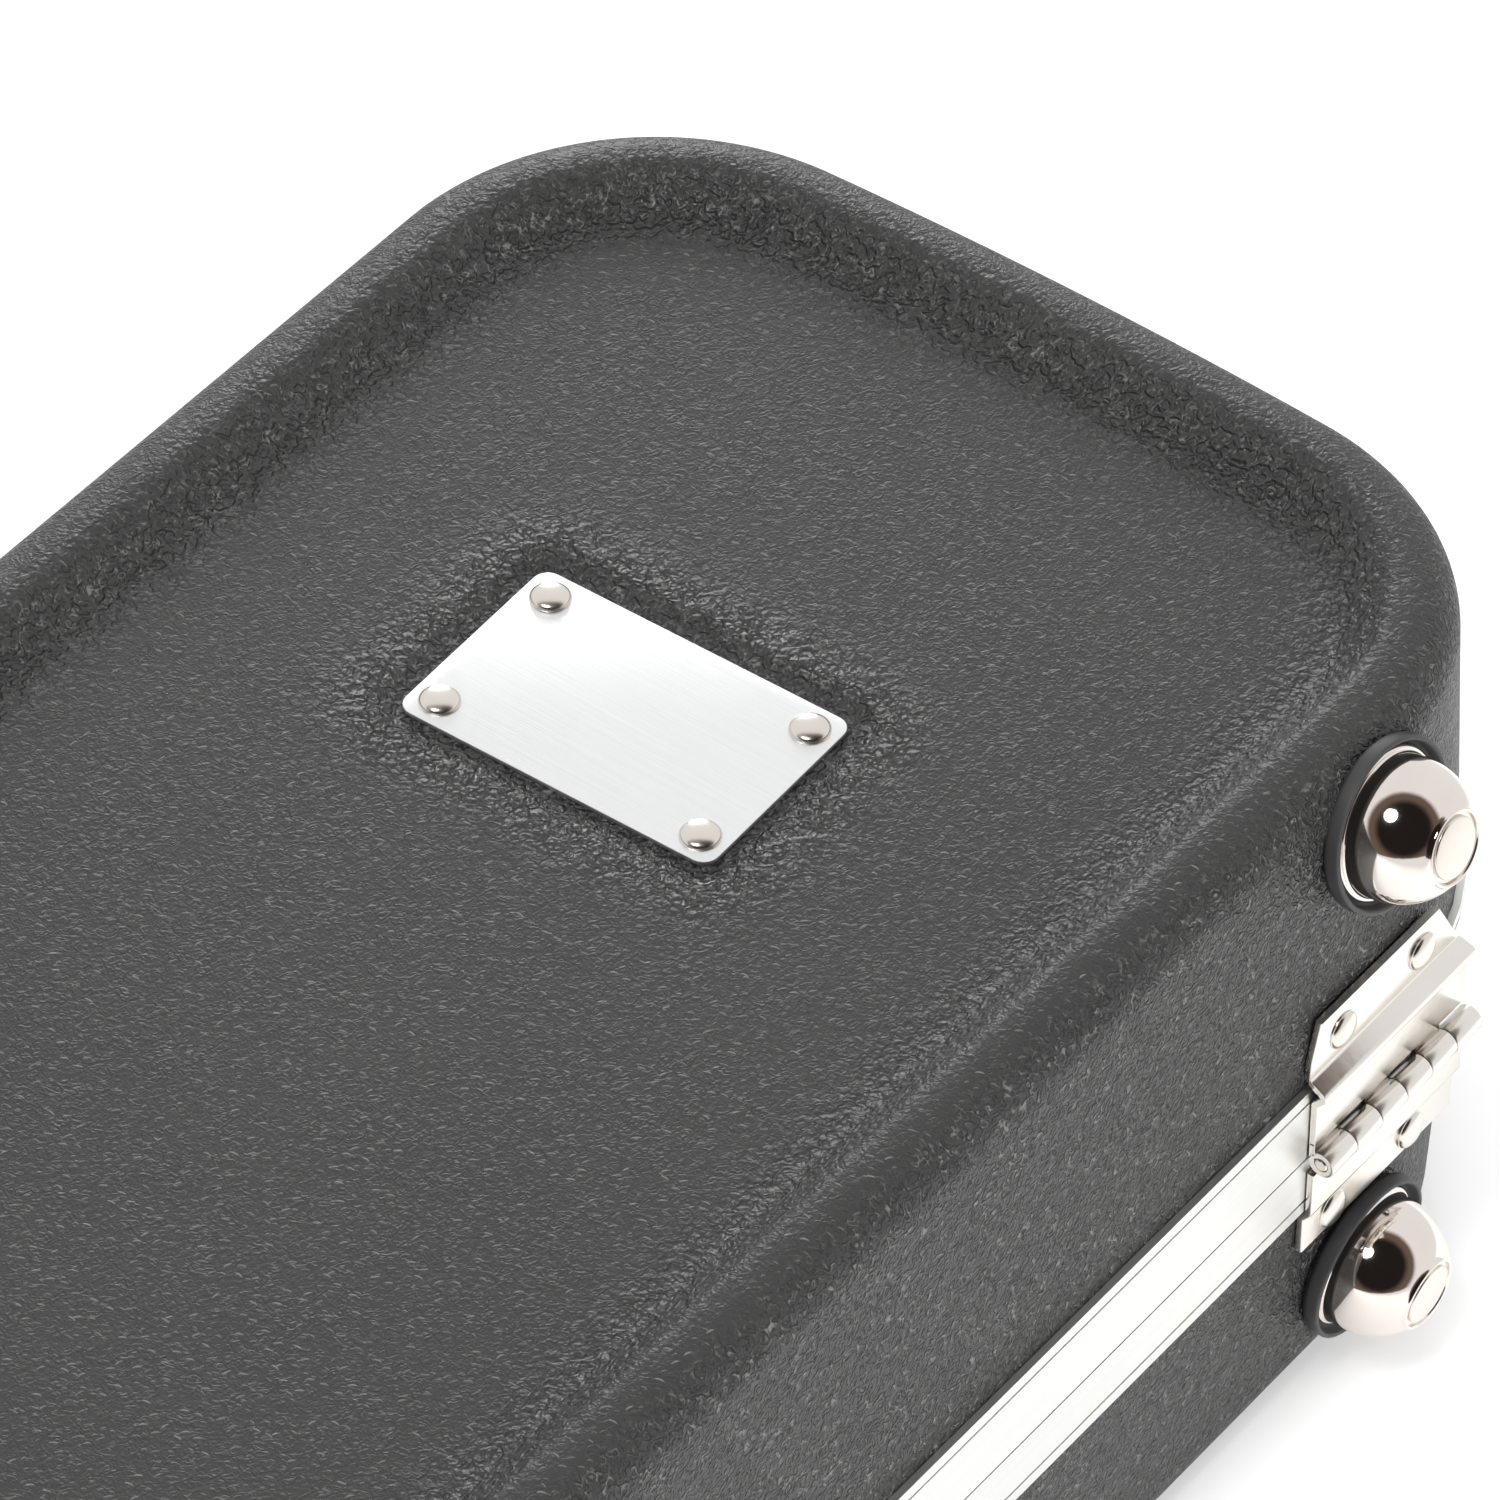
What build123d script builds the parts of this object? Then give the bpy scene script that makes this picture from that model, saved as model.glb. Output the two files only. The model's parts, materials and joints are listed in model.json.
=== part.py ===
from build123d import *
import math
import os

# Bass guitar case: two moulded shells closed along a pair of aluminium frames.
# Everything is built in case coordinates: X runs from the neck end to the body end, Y = 0 is the middle of
# the neck section, the hinge side is at +Y, and heights are measured up from the parting line.
# The finished pieces are then moved so that the origin is under the middle of the whole case.

# Overall size
case_length = 1230.0
neck_width = 192.0
body_width = 390.0
lid_depth = 70.0
base_depth = 56.0

# Plan of the case
flare_from_neck_end = 465.0
flare_angle = 37.0
flare_inner_radius = 140.0
flare_outer_radius = 140.0
neck_end_bow = 5.0
body_end_bow = 8.0
neck_corner_radius = 52.0
body_corner_radius = 75.0

# Moulded shells
shell_thickness = 3.0
shell_draft = 2.5
edge_radius = 8.0
rim_flat = 2.2
rim_slope_width = 6.5
rim_height = 5.0
rim_inner_radius = 4.0
rim_foot_radius = 5.0

# Aluminium frames
lid_frame_height = 14.4
base_frame_height = 11.4
frame_flange = 1.2
frame_web = 3.0
frame_reach = 13.0
frame_inner_height = 9.0
parting_gap = 0.3
channel_gap = 0.1
tongue_width = 2.0
tongue_height = 1.6
tongue_inset = 9.0
tongue_gap = 0.3

# Sheet fittings and rivets
sheet = 1.2
seat_gap = 0.1
rivet_head_radius = 3.15
rivet_head_height = 1.3
rivet_shank_radius = 1.5
rivet_gap = 0.05
rivet_tail_height = 1.0
rivet_tail_radius = 2.6
seat_block_depth = 24.0
seat_block_corner = 2.0
seat_grip = 1.4
plate_seat_grip = 1.6
drill_reach = 10.0
wall_drill_reach = 20.0

# Nameplate, across the neck section
plate_length = 56.0
plate_height = 36.0
plate_thickness = 0.8
plate_corner = 2.5
plate_from_end = 116.3
plate_turn = 1.7
plate_rivet_inset = 4.6
plate_recess_depth = 1.5
plate_recess_slope = 4.0
plate_recess_gap = 1.0

# Hinges
hinge_width = 38.6
hinge_top_width = 30.0
hinge_tab_shift = 2.3
hinge_lid_reach = 26.6
hinge_base_reach = 20.6
hinge_near_chamfer = 7.0
hinge_far_chamfer = 12.0
hinge_from_neck_end = 57.5
hinge_from_body_end = 98.0
hinges_between = (425.0, 425.0)
hinge_bead = 1.3
barrel_radius = 2.25
barrel_offset = 2.45
pin_radius = 1.1
pin_gap = 0.05
knuckle_count = 6
knuckle_gap = 0.2
hinge_rivet_spacing = 20.2
hinge_rivet_shift = 1.6
hinge_rivet_inset = 5.5
hinge_base_rivet_inset = 3.4

# Bumper feet on the hinge side
lid_foot_height = 55.0
base_foot_height = 36.0
lid_foot_tilt = 11.0
base_foot_tilt = 3.0
foot_from_corner = 6.4
foot_flange_radius = 12.0
foot_body_radius = 11.0
foot_height = 12.5
foot_tip_radius = 6.1
foot_sheet = 1.0
foot_rivet_radius = 2.0
foot_rivet_head = 4.9
foot_rivet_head_height = 0.6
foot_washer_radius = 4.0
foot_washer_thickness = 1.0
foot_washer_gap = 0.6
foot_ring_width = 0.8
foot_ring_height = 0.4
foot_fillet_rise = 1.2
foot_tool_depth = 8.0
cup_radius = 13.7
cup_lip = 0.9
cup_floor = 1.2
cup_height = 3.2
cup_clearance = 0.6
cup_clearance_height = 12.0
foot_seat_radius = 12.4
foot_seat_rise = 0.3

# Draw latches on the latch side
latch_from_neck_end = 165.0
latch_before_flare = 85.0
latch_past_flare = 92.245
latch_from_body_end = 125.0
lock_latch = 3
latch_width = 32.0
latch_plate_reach = 38.0
latch_rivet_inset = 5.0
latch_rivet_spacing = 11.0
keeper_rivet_spacing = 19.0
lever_pivot = (6.2, -16.0)
bail_pivot = (4.6, -23.0)
bail_bar = (3.0, 9.0)
bail_wire_radius = 1.25
bail_leg_place = 8.2
lever_arm_inner = 9.6
ear_inner = 11.1
ear_radius = 3.6
lever_web_top = -24.0
lever_web_bottom = -37.0
lever_web_place = 9.2
keeper_reach = 28.0
hook_half_width = 6.0
hook_inside = 5.6
hook_top = 10.6
hook_floor_gap = 0.45
stub_radius = 1.25
lock_radius = 4.0
lock_front = 1.6
lock_back = 2.6
key_slot = (1.2, 4.4, 1.2)
lock_cam = (3.4, 7.6, 1.0)

# Handle
handle_from_body_end = 267.5
handle_half_span = 60.0
handle_wire_radius = 3.0
handle_drop = 24.0
handle_pivot = (7.5, -20.0)
handle_lean = 1.5
grip_length = 92.0
grip_depth = 15.0
grip_height = 14.0
grip_corner = 5.0
handle_bend = 5.0
bracket_end_gap = 0.5
bracket_length = 12.0
bracket_wall = 1.8
bracket_width = 26.0
bracket_height = 24.0
bracket_corner = 3.0
bracket_rivet_inset = 3.8
bracket_rivet_drop = 2.0

# Lining
liner_wall_gap = 2.5
liner_wall = 8.0
liner_floor = 6.0
lid_liner_ceiling = 8.0
liner_frame_gap = 0.3
lid_pad_thickness = 18.0
lid_pad_length = 400.0
lid_pad_from_body_end = 65.0
lid_pad_from_latch_side = 41.0
lid_pad_from_hinge_side = 49.0
lid_pad_corner = 40.0
lid_pad_edge_radius = 6.0
body_bay_length = 490.0
body_bay_from_end = 30.0
body_bay_from_latch_side = 19.0
body_bay_from_hinge_side = 20.0
body_bay_corner = 60.0
head_bay_length = 236.0
head_bay_from_end = 29.0
head_bay_from_latch_side = 24.0
head_bay_from_hinge_side = 30.0
head_bay_corner = 30.0
neck_bay_half_width = 35.0
neck_axis_from_neck_end = 30.0
neck_axis_from_body_end = 275.0
neck_axis_start_drop = 98.0
neck_axis_end_rise = 193.0
neck_bay_short_of_axis = 120.0

# Accessory compartment, beside the neck on the hinge side
compartment_length = 240.0
compartment_width = 49.0
compartment_from_neck_end = 290.0
compartment_from_hinge_side = 19.0
compartment_wall = 3.0
compartment_floor = 3.0
compartment_top = -9.0
cover_thickness = 3.5
cover_gap = 0.4
cover_corner = 2.5
cover_end_gap = 4.0
cover_fold_radius = 0.8
notch_length = 40.0
notch_reach = 18.0
notch_depth = 10.0
notch_corner = 7.0
pull_width = 16.0
pull_length = 22.0
pull_thickness = 1.2

# Neck cradle
cradle_from_body_end = 605.0
cradle_length = 50.0
cradle_height = 16.0
cradle_hollow_radius = 60.0
cradle_hollow_depth = 5.0

# Values that follow from the ones above
neck_end = -case_length / 2
body_end = case_length / 2
flare_start = neck_end + flare_from_neck_end
flare_length = (body_width - neck_width) / math.tan(math.radians(flare_angle))
flare_end = flare_start + flare_length
neck_half = neck_width / 2
body_side = neck_half - body_width
body_middle = neck_half - body_width / 2
wall_inset = frame_flange + channel_gap
slope_angle = math.degrees(math.atan2(rim_height, rim_slope_width))
pad_plane = -wall_inset
over_frame = seat_gap
draft_rate = math.tan(math.radians(shell_draft))


def bow_circle(half, bow):
    """Radius of the arc that spans two half widths with this much bow."""
    return (half * half + bow * bow) / (2 * bow)


def outline(inset):
    """Plan of the case this far inside the frames' outer face: straight hinge side, flared latch side."""
    flare = math.radians(flare_angle)
    slip = inset * math.tan(flare / 2)
    neck_y = neck_half - inset
    body_y = body_side + inset
    half_body = body_width / 2
    neck_arc = bow_circle(neck_half, neck_end_bow)
    body_arc = bow_circle(half_body, body_end_bow)
    neck_x = -case_length / 2 + neck_arc - math.sqrt((neck_arc - inset) ** 2 - neck_y**2)
    body_x = case_length / 2 - body_arc + math.sqrt((body_arc - inset) ** 2 - (half_body - inset) ** 2)
    first = flare_start + slip
    second = first + flare_length
    sides = [
        ThreePointArc((neck_x, neck_y), (-case_length / 2 + inset, 0), (neck_x, -neck_y)),
        Polyline((neck_x, -neck_y), (first, -neck_y), (second, body_y), (body_x, body_y)),
        ThreePointArc((body_x, body_y), (case_length / 2 - inset, body_middle), (body_x, neck_y)),
        Line((body_x, neck_y), (neck_x, neck_y)),
    ]
    face = make_face(Curve() + sides)
    corners = (
        (neck_x, neck_corner_radius - inset),
        (first, flare_inner_radius + inset),
        (second, flare_outer_radius - inset),
        (body_x, body_corner_radius - inset),
    )
    for place, radius in corners:
        face = fillet([v for v in face.vertices() if abs(v.X - place) < 1e-5], radius)
    return face


def half_form(depth, frame_height, skin, start):
    """Solid of one half, this much skin inside its outer surface, from a start height up to its rim."""
    top = depth - skin
    skirt = Pos(0, 0, start) * extrude(outline(wall_inset + skin), frame_height - start)
    drawn_in = outline(wall_inset + skin + (top - frame_height) * draft_rate)
    wall = loft([Pos(0, 0, frame_height) * outline(wall_inset + skin), Pos(0, 0, top) * drawn_in], ruled=True)
    crown = wall.faces().sort_by(Axis.Z)[-1]
    wall = fillet(crown.edges(), edge_radius - skin)
    wall_top_inset = wall_inset + (depth - frame_height) * draft_rate
    slip = skin * math.tan(math.radians(slope_angle / 2))
    slope_top = wall_top_inset + edge_radius + rim_flat - slip
    recess = extrude(Pos(0, 0, top) * outline(slope_top), -rim_height, taper=90 - slope_angle)
    recess_floor = recess.faces().sort_by(Axis.Z)[0]
    recess = fillet(recess_floor.edges(), rim_foot_radius - skin * 0.5)
    wall = wall - recess
    ring = wall.faces().filter_by(Plane.XY).sort_by(Axis.Z)[-1]
    crest = ring.inner_wires()[0].edges()
    wall = fillet(crest, rim_inner_radius - skin)
    return skirt + wall


def half_shell(depth, frame_height):
    """One moulded shell, open at the parting line, and the solid of the space inside it."""
    foot = frame_web + parting_gap / 2 + channel_gap
    outer = half_form(depth, frame_height, 0, foot)
    inner = half_form(depth, frame_height, shell_thickness, foot)
    return outer - inner, inner


def wall_offset(depth_above_frame):
    """How far the drafted wall has moved in from the frames' outer face."""
    return wall_inset + depth_above_frame * draft_rate


def hinge_side(x):
    """Place on the hinge side: local X along the case, Y outwards, Z up from the parting line."""
    return Pos(x, neck_half, 0)


def latch_side(x):
    """Place on the latch side, turned so that local Y points outwards."""
    side = -neck_half if x < flare_start else body_side
    return Location((x, side, 0), (0, 0, 180))


def flat_pad(width, low, high, inner, place):
    """Moulded flat seat on a shell wall, flush with the skirt, filled back to the shell's inner face."""
    middle = Pos(0, pad_plane - seat_block_depth / 2, (low + high) / 2)
    block = middle * Box(width, seat_block_depth, high - low)
    block = fillet(block.edges().filter_by(Axis.Y), seat_block_corner)
    return place * block - inner


def band(points, thickness):
    """Flat outline of a bent sheet whose middle follows these points, with mitred bends."""
    left = []
    right = []
    for i, (u, v) in enumerate(points):
        before = points[max(i - 1, 0)]
        after = points[min(i + 1, len(points) - 1)]
        first = (u - before[0], v - before[1]) if i else (after[0] - u, after[1] - v)
        second = (after[0] - u, after[1] - v) if i < len(points) - 1 else first
        normals = []
        for du, dv in (first, second):
            size = math.hypot(du, dv)
            normals.append((-dv / size, du / size))
        mu = normals[0][0] + normals[1][0]
        mv = normals[0][1] + normals[1][1]
        scale = thickness / (mu * mu + mv * mv)
        left.append((u + mu * scale, v + mv * scale))
        right.append((u - mu * scale, v - mv * scale))
    return left + right[::-1]


def side_sheet(points, thickness, low, high):
    """Bent sheet: its section lies in the outward and upward plane, from low to high along the case."""
    face = make_face(Polyline(band(points, thickness), close=True))
    solid = extrude(Plane.YZ * face, high - low)
    return Pos(low, 0, 0) * solid


def side_rod(center, radius, low, high):
    """Round bar along the case at an outward and upward place."""
    return Pos((low + high) / 2, center[0], center[1]) * Rot(0, 90, 0) * Cylinder(radius, high - low)


def rivet(grip):
    """Round-head rivet standing on the local plane Z = 0, with its shank and tail below, through a grip."""
    bulge = (rivet_head_radius**2 + rivet_head_height**2) / (2 * rivet_head_height)
    ball = Pos(0, 0, rivet_head_height - bulge) * Sphere(bulge)
    head = ball & Pos(0, 0, rivet_head_height / 2) * Cylinder(rivet_head_radius, rivet_head_height)
    shank = Pos(0, 0, -grip / 2) * Cylinder(rivet_shank_radius, grip)
    tail = Pos(0, 0, -grip - rivet_tail_height / 2) * Cylinder(rivet_tail_radius, rivet_tail_height)
    return head + shank + tail


def drill(depth, radius):
    """Round hole tool centred on the local origin along Z."""
    return Cylinder(radius, 2 * depth)


def outward(x, u, v):
    """Place on a wall fitting: local Z points outwards."""
    return Location((x, u, v), (-90, 0, 0))


rivet_hole = rivet_shank_radius + rivet_gap
tab_grip = sheet + shell_thickness
parts = {}

# Shells

lid_shell, lid_space = half_shell(lid_depth, lid_frame_height)
base_shell, base_space = half_shell(base_depth, base_frame_height)
base_shell = mirror(base_shell, about=Plane.XY)
base_space = mirror(base_space, about=Plane.XY)

# Hinge places along the straight side

hinge_places = (
    neck_end + hinge_from_neck_end,
    neck_end + hinges_between[0],
    body_end - hinges_between[1],
    body_end - hinge_from_body_end,
)
hinge_pad_width = hinge_top_width - 2
lid_pad_low = lid_frame_height + channel_gap
base_pad_top = -base_frame_height - channel_gap
for x in hinge_places:
    place = hinge_side(x + hinge_tab_shift)
    lid_shell += flat_pad(hinge_pad_width, lid_pad_low, hinge_lid_reach - 1, lid_space, place)
    base_shell += flat_pad(hinge_pad_width, 1 - hinge_base_reach, base_pad_top, base_space, place)

# Latch and handle seats

latch_places = (
    neck_end + latch_from_neck_end,
    flare_start - latch_before_flare,
    flare_end + latch_past_flare,
    body_end - latch_from_body_end,
)
handle_place = body_end - handle_from_body_end
for x in latch_places:
    lid_shell += flat_pad(latch_width + 4, lid_pad_low, keeper_reach + 2, lid_space, latch_side(x))
    base_shell += flat_pad(latch_width + 4, -latch_plate_reach - 2, base_pad_top, base_space, latch_side(x))
bracket_middle = handle_half_span + handle_bend + bracket_end_gap + bracket_length / 2
bracket_low = handle_pivot[1] - bracket_height / 2
for side in (-1, 1):
    x = handle_place + side * bracket_middle
    base_shell += flat_pad(bracket_width + 3, bracket_low - 1.5, base_pad_top, base_space, latch_side(x))

# Bumper feet: each stands on the wall just short of the corner, leaning a little away from the parting line


def foot_place(end, height, frame_height, tilt, up):
    """Seat of a foot at the neck end (-1) or the body end (1), on the lid (up 1) or the base (up -1)."""
    half = neck_half if end < 0 else body_width / 2
    middle = 0.0 if end < 0 else body_middle
    bow = bow_circle(half, neck_end_bow if end < 0 else body_end_bow)
    radius = neck_corner_radius if end < 0 else body_corner_radius
    reach = math.sqrt((bow - radius) ** 2 - (neck_half - radius - middle) ** 2)
    corner_x = end * (case_length / 2 - bow + reach)
    origin = (
        corner_x - end * foot_from_corner,
        neck_half - wall_offset(height - frame_height) + foot_seat_rise,
        up * height,
    )
    lean = math.radians(tilt)
    normal = (0, math.cos(lean), up * math.sin(lean))
    return Plane(origin=origin, x_dir=(1, 0, 0), z_dir=normal).location


def foot_dome():
    """Plated steel dome: flange, round body and a flat tip with a raised ring round the rivet."""
    base = cup_floor
    center = base + foot_height - math.sqrt(foot_body_radius**2 - foot_tip_radius**2)
    tip = base + foot_height
    inner_radius = foot_body_radius - foot_sheet
    inner_tip = tip - foot_sheet
    inner_edge = math.sqrt(inner_radius**2 - (inner_tip - center) ** 2)
    hole = foot_rivet_radius + rivet_gap
    mid = math.radians(25)
    ring = foot_tip_radius - foot_ring_width
    ring_top = tip + foot_ring_height
    outside = [
        Polyline(
            (inner_radius, base), (foot_flange_radius, base), (foot_flange_radius, base + foot_sheet),
            (foot_body_radius + 0.9, base + foot_sheet + 0.2),
            (foot_body_radius, base + foot_sheet + foot_fillet_rise),
            (foot_body_radius, center),
        ),
        ThreePointArc(
            (foot_body_radius, center),
            (foot_body_radius * math.cos(mid), center + foot_body_radius * math.sin(mid)),
            (foot_tip_radius, tip),
        ),
        Polyline(
            (foot_tip_radius, tip), (foot_tip_radius - 0.2, ring_top), (ring, ring_top),
            (ring - 0.2, tip), (hole, tip), (hole, inner_tip), (inner_edge, inner_tip),
        ),
        ThreePointArc(
            (inner_edge, inner_tip),
            (inner_radius * math.cos(mid), center + inner_radius * math.sin(mid)),
            (inner_radius, center),
        ),
        Line((inner_radius, center), (inner_radius, base)),
    ]
    return revolve(Plane.XZ * make_face(Curve() + outside), Axis.Z)


def foot_cup():
    """Rubber cup under the dome: a disc with a hole and a lip that rolls outwards."""
    hole = foot_rivet_radius + rivet_gap
    lip_in = cup_radius - cup_lip - 0.5
    points = [
        (hole, 0), (lip_in, 0), (cup_radius, 1.2), (cup_radius, cup_height - 0.4),
        (cup_radius - 0.4, cup_height), (cup_radius - cup_lip, cup_height),
        (cup_radius - cup_lip, 1.8), (lip_in - 0.1, cup_floor), (hole, cup_floor),
    ]
    return revolve(Plane.XZ * make_face(Polyline(points, close=True)), Axis.Z)


def foot_rivet():
    """Rivet through dome and cup: flat head inside the tip's ring, shank through the wall, washer inside."""
    tip = cup_floor + foot_height
    tail = shell_thickness + foot_seat_rise + foot_washer_gap
    head = Pos(0, 0, tip + foot_rivet_head_height / 2) * Cylinder(foot_rivet_head, foot_rivet_head_height)
    head = fillet(head.edges().sort_by(Axis.Z)[-1], 0.35)
    shank = Pos(0, 0, (tip - tail) / 2) * Cylinder(foot_rivet_radius, tip + tail)
    washer_middle = -tail - foot_washer_thickness / 2
    washer = Pos(0, 0, washer_middle) * Cylinder(foot_washer_radius, foot_washer_thickness)
    return head + shank + washer


feet = {"lid": [], "base": []}
for end in (-1, 1):
    feet["lid"].append(foot_place(end, lid_foot_height, lid_frame_height, lid_foot_tilt, 1))
    feet["base"].append(foot_place(end, base_foot_height, base_frame_height, base_foot_tilt, -1))
seat_tool = Pos(0, 0, -foot_tool_depth / 2) * Cylinder(foot_seat_radius, foot_tool_depth)
hole_tool = Cylinder(foot_rivet_radius + rivet_gap, 2 * foot_tool_depth)
clear_tool = Pos(0, 0, cup_clearance_height / 2) * Cylinder(cup_radius + cup_clearance, cup_clearance_height)
for place in feet["lid"]:
    lid_shell = lid_shell + (place * seat_tool - lid_space) - place * clear_tool - place * hole_tool
for place in feet["base"]:
    base_shell = base_shell + (place * seat_tool - base_space) - place * clear_tool - place * hole_tool
for half, places in feet.items():
    parts[f"{half}_feet"] = Compound(children=[place * foot_dome() for place in places])
    parts[f"{half}_foot_cups"] = Compound(children=[place * foot_cup() for place in places])
    parts[f"{half}_foot_rivets"] = Compound(children=[place * foot_rivet() for place in places])

# Nameplate in its shallow recess, turned a little as it was riveted on

panel_top = lid_depth - rim_height
plate_seat = Location((neck_end + plate_from_end, 0, panel_top - plate_recess_depth), (0, 0, plate_turn))
recess_length = plate_length + 2 * plate_recess_gap
recess_height = plate_height + 2 * plate_recess_gap
recess_taper = math.degrees(math.atan2(plate_recess_slope, plate_recess_depth))
recess_mouth = Pos(0, 0, plate_recess_depth) * fillet(
    Rectangle(recess_height + 2 * plate_recess_slope, recess_length + 2 * plate_recess_slope).vertices(),
    plate_recess_slope + plate_corner,
)
lid_shell -= plate_seat * extrude(recess_mouth, -plate_recess_depth, taper=recess_taper)
nameplate = extrude(fillet(Rectangle(plate_height, plate_length).vertices(), plate_corner), plate_thickness)
plate_holes = GridLocations(
    plate_height - 2 * plate_rivet_inset, plate_length - 2 * plate_rivet_inset, 2, 2
)
plate_grip = plate_thickness + shell_thickness - plate_recess_depth
plate_rivets = []
for place in plate_holes:
    nameplate -= place * drill(drill_reach, rivet_hole)
    lid_shell -= plate_seat * place * drill(drill_reach, rivet_hole)
    plate_rivets.append(plate_seat * place * Pos(0, 0, plate_thickness) * rivet(plate_grip))
parts["nameplate"] = plate_seat * nameplate
parts["nameplate_rivets"] = Compound(children=plate_rivets)

# Aluminium frames


def frame_ring(height, up):
    """Extrusion bent round the case: outer flange, web, inner flange, and a tongue or its groove."""
    low = parting_gap / 2
    web_top = low + frame_web
    shell_room = frame_flange + 2 * channel_gap + shell_thickness
    flange = extrude(outline(0) - outline(frame_flange), height - low)
    web = extrude(outline(0) - outline(frame_reach), frame_web)
    inner = extrude(outline(shell_room) - outline(shell_room + frame_flange), frame_inner_height)
    ring = Pos(0, 0, low) * (flange + web + inner)
    line_low = height - 2.6
    line = extrude(outline(-1) - outline(0.25), 0.5)
    ring -= Pos(0, 0, line_low) * line
    if up:
        groove = extrude(
            outline(tongue_inset - tongue_gap) - outline(tongue_inset + tongue_width + tongue_gap),
            tongue_height + tongue_gap,
        )
        return ring - groove
    tongue = extrude(outline(tongue_inset) - outline(tongue_inset + tongue_width), tongue_height + 2 * low)
    return mirror(ring, about=Plane.XY) + Pos(0, 0, -2 * low) * tongue


lid_frame = frame_ring(lid_frame_height, True)
base_frame = frame_ring(base_frame_height, False)

# Hinges: two bent leaves with rolled knuckles on one pin

knuckle_length = hinge_width / knuckle_count


def knuckle_span(index):
    """Start and end of one knuckle along the hinge."""
    low = -hinge_width / 2 + index * knuckle_length
    first = low + (knuckle_gap / 2 if index else 0)
    last = low + knuckle_length - (knuckle_gap / 2 if index < knuckle_count - 1 else 0)
    return first, last


def hinge_leaf(reach, frame_height, knuckles, beaded):
    """Leaf above the parting line: tab on the shell, bead or joggle, flat over the frame, rolled knuckles."""
    tab = pad_plane + sheet / 2
    flat = over_frame + sheet / 2
    free = barrel_radius + 0.9
    if beaded:
        bead = flat + hinge_bead
        over = [
            (tab, frame_height + 1.5), (bead, frame_height - 0.1), (bead, frame_height - 1.5),
            (flat, frame_height - 3.1),
        ]
    else:
        over = [(tab, frame_height + 1.9), (flat, frame_height + 0.5)]
    leaf = side_sheet([(tab, reach)] + over + [(flat, free)], sheet, -hinge_width / 2, hinge_width / 2)
    roll = [(flat, free + 0.5), (barrel_offset - barrel_radius + sheet / 2, 0.6)]
    bore = side_rod((barrel_offset, 0), pin_radius + pin_gap, -hinge_width, hinge_width)
    for index in knuckles:
        first, last = knuckle_span(index)
        leaf += side_sheet(roll, sheet, first, last)
        leaf += side_rod((barrel_offset, 0), barrel_radius, first, last)
    return leaf - bore


def corner_cut(side, top, low):
    """Tool that slants one upper corner of the lid leaf's tab, from its top edge down to its full width."""
    edge = side * hinge_width / 2
    inner = hinge_tab_shift + side * hinge_top_width / 2
    corner = make_face(Polyline((edge, top), (inner, top), (edge, low), close=True))
    return Pos(0, 10, 0) * extrude(Plane.XZ * corner, 20)


lid_knuckles = [i for i in range(knuckle_count) if i % 2]
base_knuckles = [i for i in range(knuckle_count) if not i % 2]
lid_leaf = hinge_leaf(hinge_lid_reach, lid_frame_height, lid_knuckles, True)
lid_leaf -= corner_cut(1, hinge_lid_reach, hinge_lid_reach - hinge_near_chamfer)
lid_leaf -= corner_cut(-1, hinge_lid_reach, hinge_lid_reach - hinge_far_chamfer)
base_leaf = mirror(hinge_leaf(hinge_base_reach, base_frame_height, base_knuckles, False), about=Plane.XY)
pin_reach = hinge_width / 2 + 0.1
hinge_pin = side_rod((barrel_offset, 0), pin_radius, -pin_reach, pin_reach)
lid_rivet_height = hinge_lid_reach - hinge_rivet_inset
base_rivet_height = -hinge_base_reach + hinge_base_rivet_inset
hinge_rivets = {"lid": [], "base": []}
tab_face = pad_plane + sheet
for side in (-1, 1):
    x = hinge_rivet_shift + side * hinge_rivet_spacing / 2
    lid_leaf -= outward(x, tab_face, lid_rivet_height) * drill(drill_reach, rivet_hole)
    base_leaf -= outward(x, tab_face, base_rivet_height) * drill(drill_reach, rivet_hole)
for number, x in enumerate(hinge_places, 1):
    parts[f"hinge_lid_leaf_{number}"] = hinge_side(x) * lid_leaf
    parts[f"hinge_base_leaf_{number}"] = hinge_side(x) * base_leaf
    parts[f"hinge_pin_{number}"] = hinge_side(x) * hinge_pin
    for side in (-1, 1):
        across = hinge_rivet_shift + side * hinge_rivet_spacing / 2
        for half, height in (("lid", lid_rivet_height), ("base", base_rivet_height)):
            place = hinge_side(x) * outward(across, tab_face, height)
            hinge_rivets[half].append(place * rivet(tab_grip + seat_grip))
            tool = place * drill(wall_drill_reach, rivet_hole)
            if half == "lid":
                lid_shell -= tool
            else:
                base_shell -= tool
for half, made in hinge_rivets.items():
    parts[f"hinge_{half}_rivets"] = Compound(children=made)

# Draw latches

plate_rivet_height = latch_rivet_inset - latch_plate_reach
keeper_rivet_height = keeper_reach - hinge_rivet_inset
lock_height = (lever_web_top + lever_web_bottom) / 2


def latch_plate():
    """Base plate of a latch, over the base frame and down the shell, with two ears for the lever."""
    tab = pad_plane + sheet / 2
    flat = over_frame + sheet / 2
    points = [
        (flat, -1.5), (flat, -base_frame_height - 0.6), (tab, -base_frame_height - 2.6),
        (tab, -latch_plate_reach),
    ]
    half = latch_width / 2
    plate = side_sheet(points, sheet, -half, half)
    u, v = lever_pivot
    for side in (-1, 1):
        low, high = sorted((side * ear_inner, side * (ear_inner + sheet)))
        ear = side_rod((u, v), ear_radius, low, high)
        root = Pos((low + high) / 2, u / 2 - 0.3, v) * Box(high - low, u + 0.6, 2 * ear_radius)
        plate += ear + (root - side_rod((u, v), ear_radius, low, high))
        plate -= side_rod((u, v), stub_radius, low, high)
    for side in (-1, 1):
        x = side * latch_rivet_spacing / 2
        plate -= outward(x, tab_face, plate_rivet_height) * drill(drill_reach, rivet_hole)
    return plate


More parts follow.
